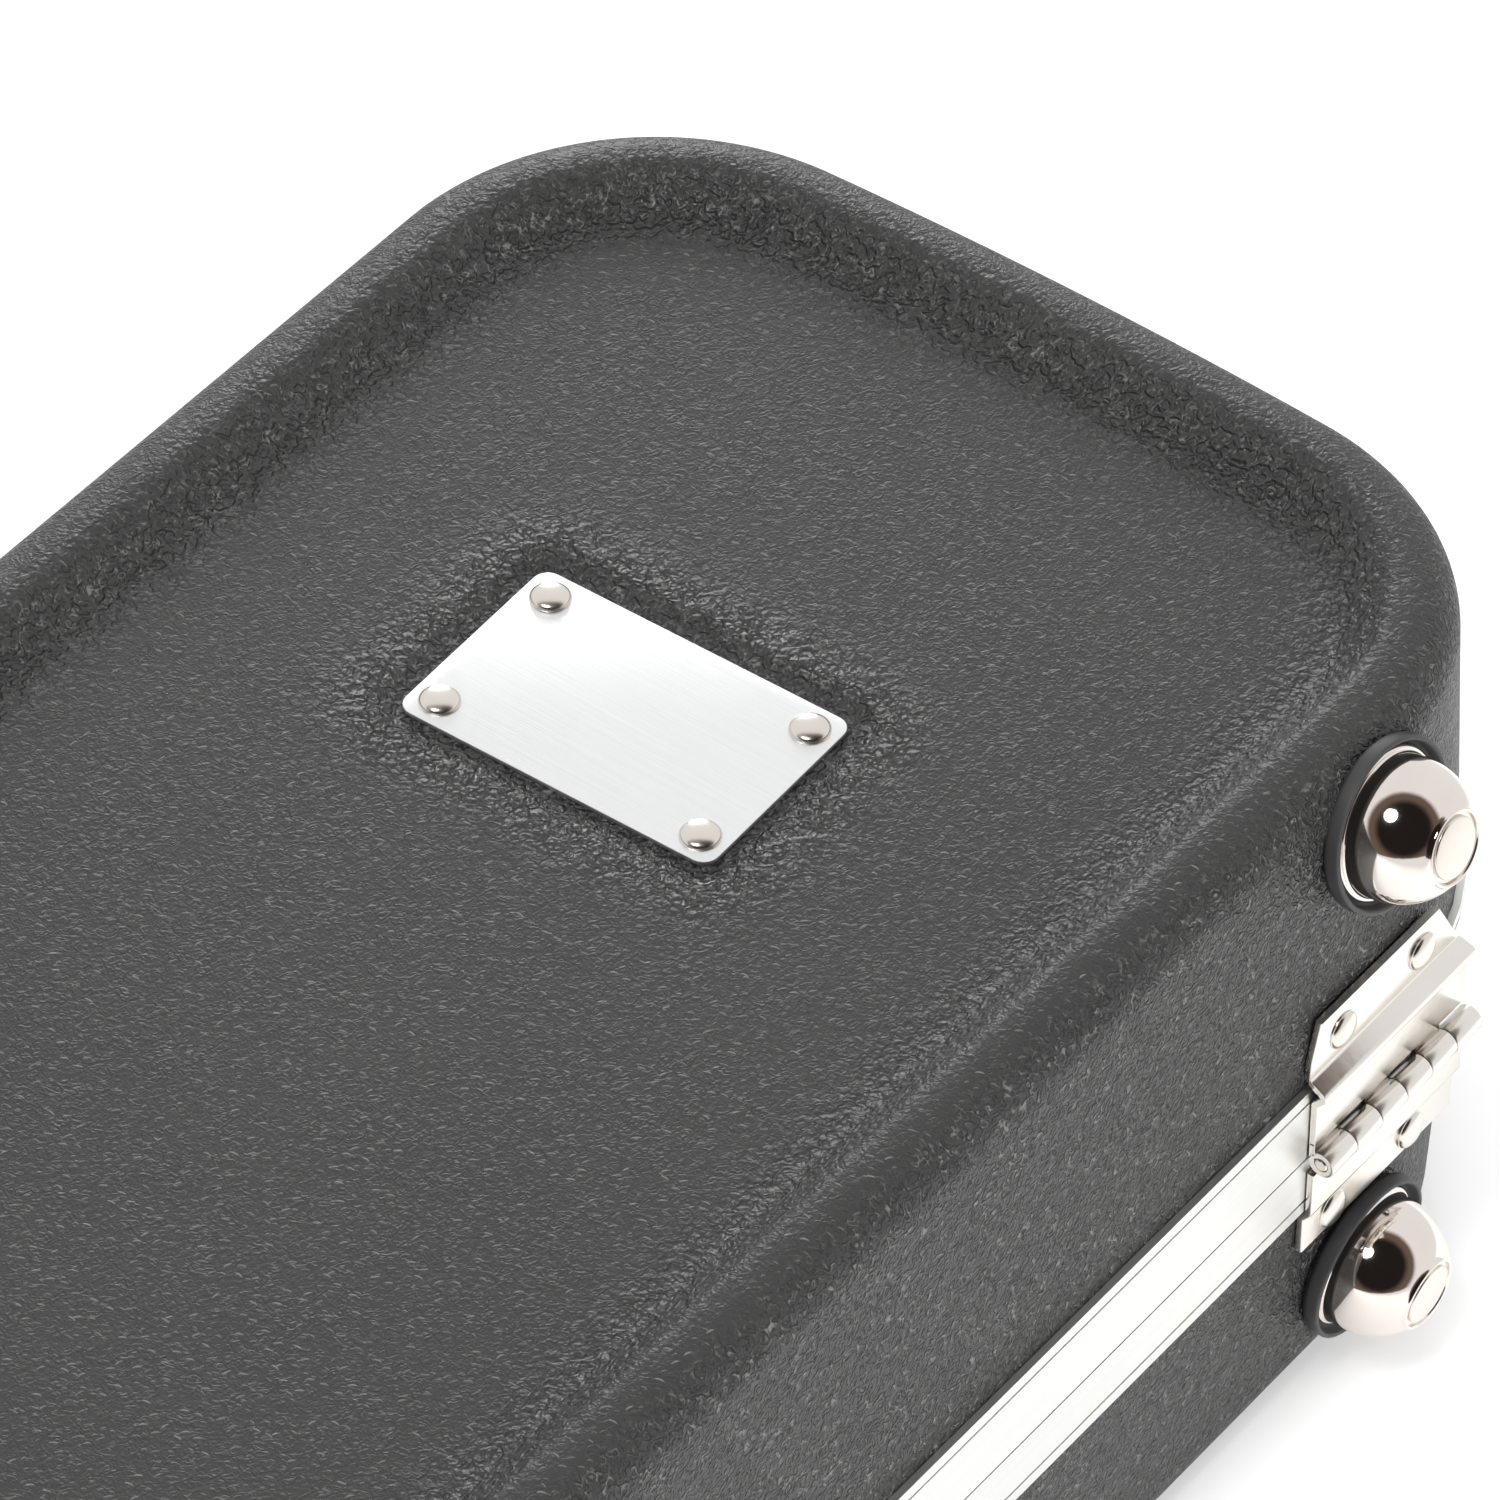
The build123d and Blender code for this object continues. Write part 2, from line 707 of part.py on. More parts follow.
def latch_lever(locked):
    """Lever: two arms on the pivots, a web to press, and a lip turned out for the thumb."""
    u, v = lever_pivot
    b = bail_pivot
    arm_points = [
        (u - 2.6, v + 2.2), (u + 1.6, v + 2.6), (u + 3.6, v - 1.0),
        (lever_web_place + sheet / 2, lever_web_top),
        (lever_web_place + sheet / 2, lever_web_bottom), (lever_web_place - 4.2, lever_web_bottom + 4),
        (b[0] - 2.4, b[1] - 2.6), (b[0] - 2.6, b[1] + 1.6),
    ]
    arm = extrude(Plane.YZ * make_face(Polyline(arm_points, close=True)), sheet)
    arm -= side_rod((u, v), stub_radius + pin_gap, -5, 5)
    arm -= side_rod(b, bail_wire_radius + pin_gap, -5, 5)
    web = side_sheet(
        [
            (lever_web_place, lever_web_top), (lever_web_place, lever_web_bottom - 1.0),
            (lever_web_place + 1.6, lever_web_bottom - 2.6),
        ],
        sheet, -lever_arm_inner - sheet, lever_arm_inner + sheet,
    )
    lever = Pos(lever_arm_inner, 0, 0) * arm + Pos(-lever_arm_inner - sheet, 0, 0) * arm + web
    if locked:
        lever -= outward(0, lever_web_place, lock_height) * drill(drill_reach, lock_radius + pin_gap)
    return lever


def latch_bail():
    """Wire bail: two legs, a cross bar, and ends turned out through the lever's arms."""
    tip = lever_arm_inner + sheet + 0.4
    leg = bail_leg_place
    route = FilletPolyline(
        (-tip, *bail_pivot), (-leg, *bail_pivot), (-leg, *bail_bar), (leg, *bail_bar), (leg, *bail_pivot),
        (tip, *bail_pivot), radius=1.3,
    )
    section = Plane(origin=route @ 0, z_dir=route % 0) * Circle(bail_wire_radius)
    return sweep(section, path=route)


def latch_keeper():
    """Keeper: tab on the lid shell, flat over the lid frame, and a narrow hook that holds the bail's bar."""
    tab = pad_plane + sheet / 2
    flat = over_frame + sheet / 2
    floor = bail_bar[1] - bail_wire_radius - hook_floor_gap - sheet / 2
    lip = hook_inside + sheet / 2
    half = latch_width / 2
    back = side_sheet(
        [(tab, keeper_reach), (tab, lid_frame_height + 3.4), (flat, lid_frame_height + 1.2), (flat, floor)],
        sheet, -half, half,
    )
    hook = side_sheet(
        [(flat, floor), (lip, floor), (lip, hook_top)], sheet, -hook_half_width, hook_half_width
    )
    keeper = back + hook
    for side in (-1, 1):
        x = side * keeper_rivet_spacing / 2
        keeper -= outward(x, tab_face, keeper_rivet_height) * drill(drill_reach, rivet_hole)
    return keeper


def lock_cylinder():
    """Key lock in a lever's web: round barrel, key slot and a small cam behind the web."""
    barrel = Pos(0, 0, (lock_front - lock_back) / 2) * Cylinder(lock_radius, lock_front + lock_back)
    barrel = fillet(barrel.edges().sort_by(Axis.Z)[-1], 0.5)
    slot = Pos(0, 0, lock_front) * Box(key_slot[0], key_slot[1], 2 * key_slot[2])
    cam = Pos(0, 1.6, -lock_back - lock_cam[2] / 2) * Box(*lock_cam)
    return barrel - slot + cam


plate_made = latch_plate()
bail_made = latch_bail()
keeper_made = latch_keeper()
pivots = []
latch_rivets = []
keeper_rivets = []
for number, x in enumerate(latch_places, 1):
    place = latch_side(x)
    parts[f"latch_plate_{number}"] = place * plate_made
    parts[f"latch_lever_{number}"] = place * latch_lever(number == lock_latch)
    parts[f"latch_bail_{number}"] = place * bail_made
    parts[f"latch_keeper_{number}"] = place * keeper_made
    for side in (-1, 1):
        low, high = sorted((side * lever_arm_inner, side * (ear_inner + sheet + 0.5)))
        pivots.append(place * side_rod(lever_pivot, stub_radius, low, high))
        spot = place * outward(side * latch_rivet_spacing / 2, tab_face, plate_rivet_height)
        latch_rivets.append(spot * rivet(tab_grip + plate_seat_grip))
        base_shell -= spot * drill(wall_drill_reach, rivet_hole)
        spot = place * outward(side * keeper_rivet_spacing / 2, tab_face, keeper_rivet_height)
        keeper_rivets.append(spot * rivet(tab_grip + seat_grip))
        lid_shell -= spot * drill(wall_drill_reach, rivet_hole)
parts["latch_pivots"] = Compound(children=pivots)
parts["latch_plate_rivets"] = Compound(children=latch_rivets)
parts["latch_keeper_rivets"] = Compound(children=keeper_rivets)
lock_spot = latch_side(latch_places[lock_latch - 1]) * outward(0, lever_web_place, lock_height)
parts["lock_cylinder"] = lock_spot * lock_cylinder()

# Handle: a wire loop in two brackets, with a moulded grip

handle_spot = latch_side(handle_place)
pivot_u, pivot_v = handle_pivot
grip_u = pivot_u + handle_lean
grip_v = pivot_v - handle_drop
stub_tip = bracket_middle + bracket_length / 2
loop_route = FilletPolyline(
    (-stub_tip, pivot_u, pivot_v), (-handle_half_span, pivot_u, pivot_v), (-handle_half_span, grip_u, grip_v),
    (handle_half_span, grip_u, grip_v), (handle_half_span, pivot_u, pivot_v), (stub_tip, pivot_u, pivot_v),
    radius=handle_bend,
)
loop_section = Plane(origin=loop_route @ 0, z_dir=loop_route % 0) * Circle(handle_wire_radius)
parts["handle_loop"] = handle_spot * sweep(loop_section, path=loop_route)
grip = Box(grip_length, grip_depth, grip_height)
grip = fillet(grip.edges().filter_by(Axis.X), grip_corner)
grip = fillet(grip.faces().sort_by(Axis.X)[0].edges() + grip.faces().sort_by(Axis.X)[-1].edges(), 2.0)
grip = Pos(0, grip_u, grip_v) * grip
grip -= side_rod((grip_u, grip_v), handle_wire_radius + rivet_gap, -grip_length, grip_length)
parts["handle_grip"] = handle_spot * grip
bracket_rivets = []
for number, side in enumerate((-1, 1), 1):
    middle = side * bracket_middle
    outer_radius = handle_wire_radius + bracket_wall
    low = middle - bracket_length / 2
    high = middle + bracket_length / 2
    plate_u = pad_plane + sheet / 2
    plate_low = bracket_low
    plate_top = -base_frame_height - 0.5
    bracket = Pos(middle, plate_u, (plate_low + plate_top) / 2) * Box(
        bracket_width, sheet, plate_top - plate_low
    )
    bracket = fillet(bracket.edges().filter_by(Axis.Y), bracket_corner)
    bracket += Pos(middle, (pad_plane + pivot_u) / 2, pivot_v) * Box(
        bracket_length, pivot_u - pad_plane, 2 * outer_radius
    )
    bracket += side_rod(handle_pivot, outer_radius, low, high)
    bracket -= side_rod(handle_pivot, handle_wire_radius + pin_gap, low - 1, high + 1)
    for across in (-1, 1):
        x = middle + across * (bracket_width / 2 - bracket_rivet_inset)
        spot = outward(x, tab_face, pivot_v - bracket_rivet_drop)
        bracket -= spot * drill(drill_reach, rivet_hole)
        bracket_rivets.append(handle_spot * spot * rivet(tab_grip + plate_seat_grip))
        base_shell -= handle_spot * spot * drill(wall_drill_reach, rivet_hole)
    parts[f"handle_bracket_{number}"] = handle_spot * bracket
parts["handle_rivets"] = Compound(children=bracket_rivets)

# Lining


def liner_block(depth, frame_height, extra):
    """Solid of the lined space: inside the shell's walls, from the frame's web to the panel."""
    inset = wall_inset + shell_thickness + liner_wall_gap + extra
    foot = frame_web + parting_gap / 2 + liner_frame_gap
    top = depth - rim_height - shell_thickness - liner_frame_gap
    low = Pos(0, 0, foot) * extrude(outline(inset), frame_height - foot)
    crown = outline(inset + (top - frame_height) * draft_rate)
    high = loft([Pos(0, 0, frame_height) * outline(inset), Pos(0, 0, top) * crown], ruled=True)
    return low + high


def bay(box, low, high, corner):
    """Upright pocket with rounded corners."""
    x0, x1, y0, y1 = box
    face = fillet(Rectangle(x1 - x0, y1 - y0).vertices(), corner)
    return Pos((x0 + x1) / 2, (y0 + y1) / 2, low) * extrude(face, high - low)


def span(first, length, second, width):
    """Plan box from its lower corner and its size."""
    return (first, first + length, second, second + width)


lid_block = liner_block(lid_depth, lid_frame_height, 0)
lid_ceiling = lid_depth - rim_height - shell_thickness - liner_frame_gap
lid_hollow = liner_block(lid_depth, lid_frame_height, liner_wall) & Box(
    2 * case_length, 2 * case_length, 2 * (lid_ceiling - lid_liner_ceiling)
)
lid_liner = lid_block - lid_hollow
for place in plate_holes:
    lid_liner -= plate_seat * place * drill(4.5, rivet_tail_radius + 0.6)
lid_pad_box = span(
    body_end - lid_pad_from_body_end - lid_pad_length, lid_pad_length,
    body_side + lid_pad_from_latch_side, body_width - lid_pad_from_latch_side - lid_pad_from_hinge_side,
)
pad_low = lid_ceiling - lid_liner_ceiling - lid_pad_thickness
lid_pad = bay(lid_pad_box, pad_low, lid_ceiling - lid_liner_ceiling, lid_pad_corner)
lid_pad = fillet(lid_pad.faces().sort_by(Axis.Z)[0].edges(), lid_pad_edge_radius)

base_block = mirror(liner_block(base_depth, base_frame_height, 0), about=Plane.XY)
base_floor = -(base_depth - rim_height - shell_thickness - liner_frame_gap)
bay_floor = base_floor + liner_floor
body_bay = span(
    body_end - body_bay_from_end - body_bay_length, body_bay_length,
    body_side + body_bay_from_latch_side, body_width - body_bay_from_latch_side - body_bay_from_hinge_side,
)
head_bay = span(
    neck_end + head_bay_from_end, head_bay_length,
    head_bay_from_latch_side - neck_half, neck_width - head_bay_from_latch_side - head_bay_from_hinge_side,
)
neck_axis_start = (neck_end + neck_axis_from_neck_end, neck_half - neck_axis_start_drop)
neck_axis_end = (body_end - neck_axis_from_body_end, body_side + neck_axis_end_rise)
neck_length = math.hypot(neck_axis_end[0] - neck_axis_start[0], neck_axis_end[1] - neck_axis_start[1])
neck_angle = math.degrees(
    math.atan2(neck_axis_end[1] - neck_axis_start[1], neck_axis_end[0] - neck_axis_start[0])
)
neck_middle = (
    (neck_axis_start[0] + neck_axis_end[0]) / 2,
    (neck_axis_start[1] + neck_axis_end[1]) / 2,
)
neck_place = Location((*neck_middle, bay_floor), (0, 0, neck_angle))
neck_bay = neck_place * extrude(
    Rectangle(neck_length - neck_bay_short_of_axis, 2 * neck_bay_half_width), -bay_floor
)
base_liner = base_block - bay(body_bay, bay_floor, 0, body_bay_corner)
base_liner -= bay(head_bay, bay_floor, 0, head_bay_corner)
base_liner -= neck_bay
comp_x0 = neck_end + compartment_from_neck_end
comp_y0 = neck_half - compartment_from_hinge_side - compartment_width
compartment = span(comp_x0, compartment_length, comp_y0, compartment_width)
comp_x1 = compartment[1]
comp_y1 = compartment[3]
comp_room = (
    comp_x0 - liner_frame_gap, comp_x1 + liner_frame_gap, comp_y0 - liner_frame_gap, comp_y1 + liner_frame_gap
)
base_liner -= bay(comp_room, bay_floor, 0, compartment_wall)
notch_x = (comp_x0 + comp_x1) / 2
notch = span(notch_x - notch_length / 2, notch_length, comp_y0 - notch_reach, notch_reach + notch_corner)
base_liner -= bay(notch, compartment_top - notch_depth, 0, notch_corner)
parts["lid_liner"] = lid_liner
parts["lid_pad"] = lid_pad
parts["base_liner"] = base_liner

# Accessory compartment

box_outer = bay(compartment, bay_floor, compartment_top, compartment_wall)
box_inner = bay(
    (
        comp_x0 + compartment_wall, comp_x1 - compartment_wall,
        comp_y0 + compartment_wall, comp_y1 - compartment_wall,
    ),
    bay_floor + compartment_floor, 0, 1.0,
)
parts["compartment_box"] = box_outer - box_inner
cover_low = compartment_top + cover_gap
cover_axis = (comp_y1 - 1.0, cover_low + cover_thickness)
cover = bay(
    (comp_x0 + 1, comp_x1 - 1, comp_y0 + 0.5, cover_axis[0]), cover_low, cover_axis[1], cover_corner
)
comp_middle = (comp_x0 + comp_x1) / 2
fold_half = (comp_x1 - comp_x0) / 2 - cover_end_gap
cover += Pos(comp_middle, 0, 0) * side_rod(cover_axis, cover_fold_radius, -fold_half, fold_half)
parts["compartment_cover"] = cover
pull = Pos(comp_middle, comp_y0 + 0.5 + pull_length / 2 - 6, cover_axis[1] + pull_thickness / 2) * Box(
    pull_width, pull_length, pull_thickness
)
parts["compartment_pull"] = fillet(pull.edges().filter_by(Axis.Z), 4.0)

# Neck cradle in the neck bay

cradle_place = body_end - cradle_from_body_end
cradle_axis_y = neck_axis_start[1] + (cradle_place - neck_axis_start[0]) * (
    (neck_axis_end[1] - neck_axis_start[1]) / (neck_axis_end[0] - neck_axis_start[0])
)
cradle_spot = Location((cradle_place, cradle_axis_y, bay_floor), (0, 0, neck_angle))
cradle = Pos(0, 0, cradle_height / 2) * Box(
    cradle_length, 2 * neck_bay_half_width - 2 * liner_frame_gap, cradle_height
)
hollow_height = cradle_height - cradle_hollow_depth + cradle_hollow_radius
cradle -= Pos(0, 0, hollow_height) * Rot(0, 90, 0) * Cylinder(cradle_hollow_radius, cradle_length + 2)
parts["neck_cradle"] = cradle_spot * cradle

parts["lid_shell"] = lid_shell
parts["base_shell"] = base_shell
parts["lid_frame"] = lid_frame
parts["base_frame"] = base_frame

# Origin under the middle of the whole case: half way between the handle's side and the feet's side

foot_reach = max((place * foot_rivet()).bounding_box().max.Y for place in feet["lid"] + feet["base"])
front_reach = min(shape.bounding_box().min.Y for shape in parts.values())
shift = Pos(0, -(foot_reach + front_reach) / 2, base_depth)

os.makedirs("parts", exist_ok=True)
for name, shape in parts.items():
    export_step(shift * shape, f"parts/{name}.step")
print("hinge axis", neck_half + barrel_offset + shift.position.Y, base_depth)
print("shift", shift.position)
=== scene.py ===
import json
import math

import bmesh
import bpy
import numpy as np
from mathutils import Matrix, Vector

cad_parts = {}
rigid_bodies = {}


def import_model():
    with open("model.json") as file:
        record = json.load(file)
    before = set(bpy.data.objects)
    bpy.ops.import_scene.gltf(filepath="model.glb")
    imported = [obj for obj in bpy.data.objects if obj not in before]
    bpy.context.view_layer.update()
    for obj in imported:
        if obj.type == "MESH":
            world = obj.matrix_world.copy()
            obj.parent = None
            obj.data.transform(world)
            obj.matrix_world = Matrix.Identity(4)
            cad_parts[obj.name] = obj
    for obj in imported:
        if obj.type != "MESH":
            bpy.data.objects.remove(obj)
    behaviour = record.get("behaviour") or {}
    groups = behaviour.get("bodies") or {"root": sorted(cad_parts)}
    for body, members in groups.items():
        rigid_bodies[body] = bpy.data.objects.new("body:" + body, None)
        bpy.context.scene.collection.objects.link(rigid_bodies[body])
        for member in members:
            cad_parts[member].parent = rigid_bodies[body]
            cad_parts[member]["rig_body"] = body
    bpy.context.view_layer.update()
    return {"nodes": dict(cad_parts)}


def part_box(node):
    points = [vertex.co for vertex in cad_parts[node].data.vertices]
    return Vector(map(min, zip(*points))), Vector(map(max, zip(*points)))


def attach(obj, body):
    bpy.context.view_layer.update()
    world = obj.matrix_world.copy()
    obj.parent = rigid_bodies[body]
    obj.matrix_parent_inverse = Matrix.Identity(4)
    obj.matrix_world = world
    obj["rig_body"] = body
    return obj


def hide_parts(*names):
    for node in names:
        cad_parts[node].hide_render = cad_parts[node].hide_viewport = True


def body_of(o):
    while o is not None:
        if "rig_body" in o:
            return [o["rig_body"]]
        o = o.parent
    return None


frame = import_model()

# The view: a long lens looks down on the neck end of the closed case from its hinge side, turned so
# that the nameplate lies aslant in the middle of the picture.
eye = Vector((0.3087, 0.7460, 1.1307))
look_at = Vector((-0.4995, 0.1233, 0.1260))
camera_roll = math.radians(0.082)


def add_object(name, data):
    """A new object in the scene."""
    made = bpy.data.objects.new(name, data)
    bpy.context.scene.collection.objects.link(made)
    return made


camera = add_object("camera", bpy.data.cameras.new("camera"))
camera.data.lens = 240.0
camera.data.sensor_width = 36.0
camera.location = eye
aim = (look_at - eye).to_track_quat("-Z", "Y").to_euler()
aim.rotate_axis("Z", camera_roll)
camera.rotation_euler = aim
bpy.context.scene.camera = camera

# Shells: two black ABS skins, vacuum-formed over a mould with a leather grain. Each has a drafted wall, a
# soft outer edge, and a raised rim that slopes down to a flat panel. Where the sheet was drawn round
# the rim and the plate's recess, the grain is pulled into coarse wrinkles.
mm = 0.001


def box_of(node):
    """Lower and upper corner of a node's box."""
    return [np.array(corner[:]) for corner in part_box(node)]


def middle_x(node):
    """Middle of a node along the case."""
    low, high = box_of(node)
    return (low[0] + high[0]) / 2


(neck_end, latch_face, _), (body_end, hinge_face, lid_frame_top) = box_of("lid_frame")
pin_low, pin_high = box_of("hinge_pin_1")
parting = (pin_low[2] + pin_high[2]) / 2
neck_face = hinge_face - 192 * mm
lid_depth = box_of("lid_shell")[1][2] - parting
halves = {
    "lid": (lid_depth, lid_frame_top - parting, 1),
    "base": (parting, parting - box_of("base_frame")[0][2], -1),
}
lid_frame_height, base_frame_height = (size[1] for size in halves.values())
neck_corner = 52 * mm
body_corner = 75 * mm
neck_bow = 5 * mm
body_bow = 8 * mm
flare_start = neck_end + 465 * mm
flare_angle = math.radians(37)
flare_radius = 140 * mm
shell_inset = 1.3 * mm
shell_thickness = 3 * mm
shell_foot = 3.25 * mm
draft = math.radians(2.5)
edge_radius = 8 * mm
rim_flat = 2.2 * mm
rim_slope_width = 6.5 * mm
rim_height = 5 * mm
crest_radius = 4 * mm
foot_radius = 5 * mm
groove_shift = 2.5 * mm
groove_spread = 7 * mm
calm_side = 0.4


def rays(angle):
    """Unit vectors (cos a, sin a) at these angles."""
    return np.stack([np.cos(angle), np.sin(angle)], axis=-1)


def arc_stations(centre, radius, start, sweep, step=math.radians(1.6)):
    """Points centre + radius (cos a, sin a) while a runs from start over sweep, with inward normals; a
    left turn of the clockwise outline is a hollow stretch, whose normal points away from its centre."""
    count = max(int(abs(sweep) / step), 3)
    ray = rays(start + sweep * np.arange(count) / count)
    return np.array(centre) + radius * ray, ray * (1 if sweep > 0 else -1)


def straight_stations(start, end, step=26 * mm):
    """Evenly spaced points from start up to, not with, end; the inward normal is the right-hand side."""
    start, end = np.array(start), np.array(end)
    run = end - start
    count = max(int(np.hypot(*run) / step), 2)
    along = run / np.hypot(*run)
    points = start + run * (np.arange(count) / count)[:, None]
    return points, np.tile([along[1], -along[0]], (count, 1))


def bowed_end(x, out, face, bow, corner):
    """One end of the case: an arc that rises by the bow over its width, and corners tangent to it. Returns
    middle y, arc radius, corner centres' distance from the middle, both centres' x and the meeting angle."""
    half = (hinge_face - face) / 2
    arc = (half**2 + bow**2) / (2 * bow)
    rise = half - corner
    reach = math.sqrt((arc - corner) ** 2 - rise**2)
    return face + half, arc, rise, x - out * arc, x - out * (arc - reach), math.atan2(rise, reach)


def case_outline():
    """Clockwise plan of the frames' outer face, from the neck's corner on the hinge side: the straight hinge
    side, the body's end, the flared latch side and the neck's end. Returns points and inward normals."""
    body_mid, body_arc, body_rise, body_arc_x, body_x, body_turn = bowed_end(
        body_end, 1, latch_face, body_bow, body_corner
    )
    neck_mid, neck_arc, neck_rise, neck_arc_x, neck_x, neck_turn = bowed_end(
        neck_end, -1, neck_face, neck_bow, neck_corner
    )
    flare_end = flare_start + (neck_face - latch_face) / math.tan(flare_angle)
    slip = flare_radius * math.tan(flare_angle / 2)
    down = math.pi / 2
    slant = slip * np.array([math.cos(flare_angle), -math.sin(flare_angle)])
    low_start = np.array([flare_end, latch_face])
    low_centre = (flare_end + slip, latch_face + flare_radius)
    high_centre = (flare_start - slip, neck_face - flare_radius)
    runs = [
        straight_stations((neck_x, hinge_face), (body_x, hinge_face)),
        arc_stations((body_x, body_mid + body_rise), body_corner, down, body_turn - down),
        arc_stations((body_arc_x, body_mid), body_arc, body_turn, -2 * body_turn, body_turn / 6),
        arc_stations((body_x, body_mid - body_rise), body_corner, -body_turn, body_turn - down),
        straight_stations((body_x, latch_face), (flare_end + slip, latch_face)),
        arc_stations(low_centre, flare_radius, -down, -flare_angle),
        straight_stations(low_start - slant, np.array([flare_start, neck_face]) + slant),
        arc_stations(high_centre, flare_radius, down - flare_angle, flare_angle),
        straight_stations((flare_start - slip, neck_face), (neck_x, neck_face)),
        arc_stations((neck_x, neck_mid - neck_rise), neck_corner, -down, neck_turn - down),
        arc_stations((neck_arc_x, neck_mid), neck_arc, neck_turn - math.pi, -2 * neck_turn, neck_turn / 6),
        arc_stations((neck_x, neck_mid + neck_rise), neck_corner, math.pi - neck_turn, neck_turn - down),
    ]
    return [np.vstack(column) for column in zip(*runs)]


outline_points, outline_inward = case_outline()


def smooth(value):
    """Smoothstep: 3 v squared - 2 v cubed, for v held between 0 and 1."""
    held = np.clip(value, 0, 1)
    return held * held * (3 - 2 * held)


def shell_section(depth, frame_height):
    """Rows (inset, height, normal across, normal up) of a shell's outer skin, from its foot up the wall,
    round the edge, over the rim and down its slope to the panel, as straight runs and tangent arcs."""
    slope = math.atan2(rim_height, rim_slope_width)
    tall = math.pi / 2
    edge_height = depth - edge_radius
    edge_inset = shell_inset + (edge_height - frame_height) * math.tan(draft) + edge_radius / math.cos(draft)
    crest = shell_inset + (depth - frame_height) * math.tan(draft) + edge_radius + rim_flat
    crest_inset = crest - crest_radius * math.tan(slope / 2)
    foot_inset = crest + rim_slope_width + foot_radius * math.tan(slope / 2)
    panel = depth - rim_height

    def run(start, end, count, normal):
        share = np.linspace(0, 1, count, endpoint=False)[:, None]
        points = np.array(start) + (np.array(end) - np.array(start)) * share
        return np.hstack([points, np.tile(normal, (count, 1))])

    def bend(centre, radius, start, end, count):
        ray = rays(np.linspace(start, end, count))
        return np.hstack([np.array(centre) + radius * ray, ray])

    wall_normal = np.array([-math.cos(draft), math.sin(draft)])
    wall_top = np.array([edge_inset, edge_height]) + edge_radius * wall_normal
    inward = np.array([2, 4, 6, 9]) * mm
    return np.vstack([
        run((shell_inset, shell_foot), (shell_inset, frame_height), 2, (-1, 0)),
        run((shell_inset, frame_height), wall_top, 8, wall_normal),
        bend((edge_inset, edge_height), edge_radius, math.pi - draft, tall, 13),
        bend((crest_inset, depth - crest_radius), crest_radius, tall, tall - slope, 6),
        bend((foot_inset, panel + foot_radius), -foot_radius, tall - slope, tall, 8),
        np.stack([foot_inset + inward, np.full(4, panel), np.zeros(4), np.ones(4)], axis=-1),
    ])


def quads(rows, columns, wrap_rows=False, wrap_columns=False):
    """Four-sided faces of a grid whose points run row by row; wrapping joins the last to the first."""
    row = np.arange(rows if wrap_rows else rows - 1)
    column = np.arange(columns if wrap_columns else columns - 1)
    row, column = np.meshgrid(row, column, indexing="ij")
    row_on, column_on = (row + 1) % rows, (column + 1) % columns
    corners = [row * columns + column, row * columns + column_on, row_on * columns + column_on]
    return np.stack(corners + [row_on * columns + column], axis=-1).reshape(-1, 4).tolist()


def put_piece(name, shapes, body, material, stands_for, crease=40, masks=None, fill=False):
    """One mesh piece from several (points, faces) shapes. Doubles merge, flat holes are filled where that
    is asked, normals turn outwards, and edges sharper than the crease angle stay sharp."""
    points, faces, start = [], [], 0
    for shape_points, shape_faces in shapes:
        points.append(shape_points)
        faces += [[start + corner for corner in face] for face in shape_faces]
        start += len(shape_points)
    mesh = bpy.data.meshes.new(name)
    mesh.from_pydata(np.vstack(points).tolist(), [], faces)
    for mask, values in (masks or {}).items():
        mesh.attributes.new(mask, "FLOAT", "POINT").data.foreach_set("value", values.astype(np.float32))
    work = bmesh.new()
    work.from_mesh(mesh)
    bmesh.ops.remove_doubles(work, verts=work.verts, dist=2e-6)
    if fill:
        levels = {}
        for edge in work.edges:
            if edge.is_boundary:
                levels.setdefault(round(edge.verts[0].co.z, 5), []).append(edge)
        for edges in levels.values():
            bmesh.ops.triangle_fill(work, edges=edges, use_beauty=True)
    bmesh.ops.recalc_face_normals(work, faces=work.faces)
    work.to_mesh(mesh)
    work.free()
    mesh.polygons.foreach_set("use_smooth", [True] * len(mesh.polygons))
    mesh.set_sharp_from_angle(angle=math.radians(crease))
    mesh.materials.append(material)
    piece = add_object(name, mesh)
    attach(piece, body)
    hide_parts(*stands_for)
    return piece


def ring_of(half_x, half_y, corner, steps=6):
    """Rounded rectangle about the origin, counter-clockwise: four quarter arcs about its corner centres."""
    angle = (np.arange(4)[:, None] * math.pi / 2 + np.linspace(0, math.pi / 2, steps)).ravel()
    quarter = np.repeat(np.array([[1, 1], [-1, 1], [-1, -1], [1, -1]]), steps, axis=0)
    return quarter * np.array([half_x - corner, half_y - corner]) + corner * rays(angle)


def lifted(ring, height):
    """A flat ring at one height, or with a height for each point."""
    return np.column_stack([ring, np.broadcast_to(height, len(ring))])


def stacked(rings):
    """Closed skin through rings with equal point counts: quads between rings and a flat cap at each end."""
    rings = np.array(rings)
    count, around = rings.shape[:2]
    last = (count - 1) * around
    caps = [list(range(around)), list(range(last, last + around))]
    return rings.reshape(-1, 3), quads(count, around, wrap_columns=True) + caps


def turned(profile, sides=64):
    """A profile of (radius, height) pairs turned once round the Z axis."""
    profile = np.array(profile)
    flat = profile[:, :1, None] * rays(np.linspace(0, 2 * math.pi, sides, endpoint=False))
    z = np.broadcast_to(profile[:, 1:], flat.shape[:2])
    return np.dstack([flat, z]).reshape(-1, 3), quads(len(profile), sides, wrap_columns=True)


def carried(shape, place):
    """A shape moved by a 4 x 4 placement."""
    points, faces = shape
    return points @ place[:3, :3].T + place[:3, 3], faces


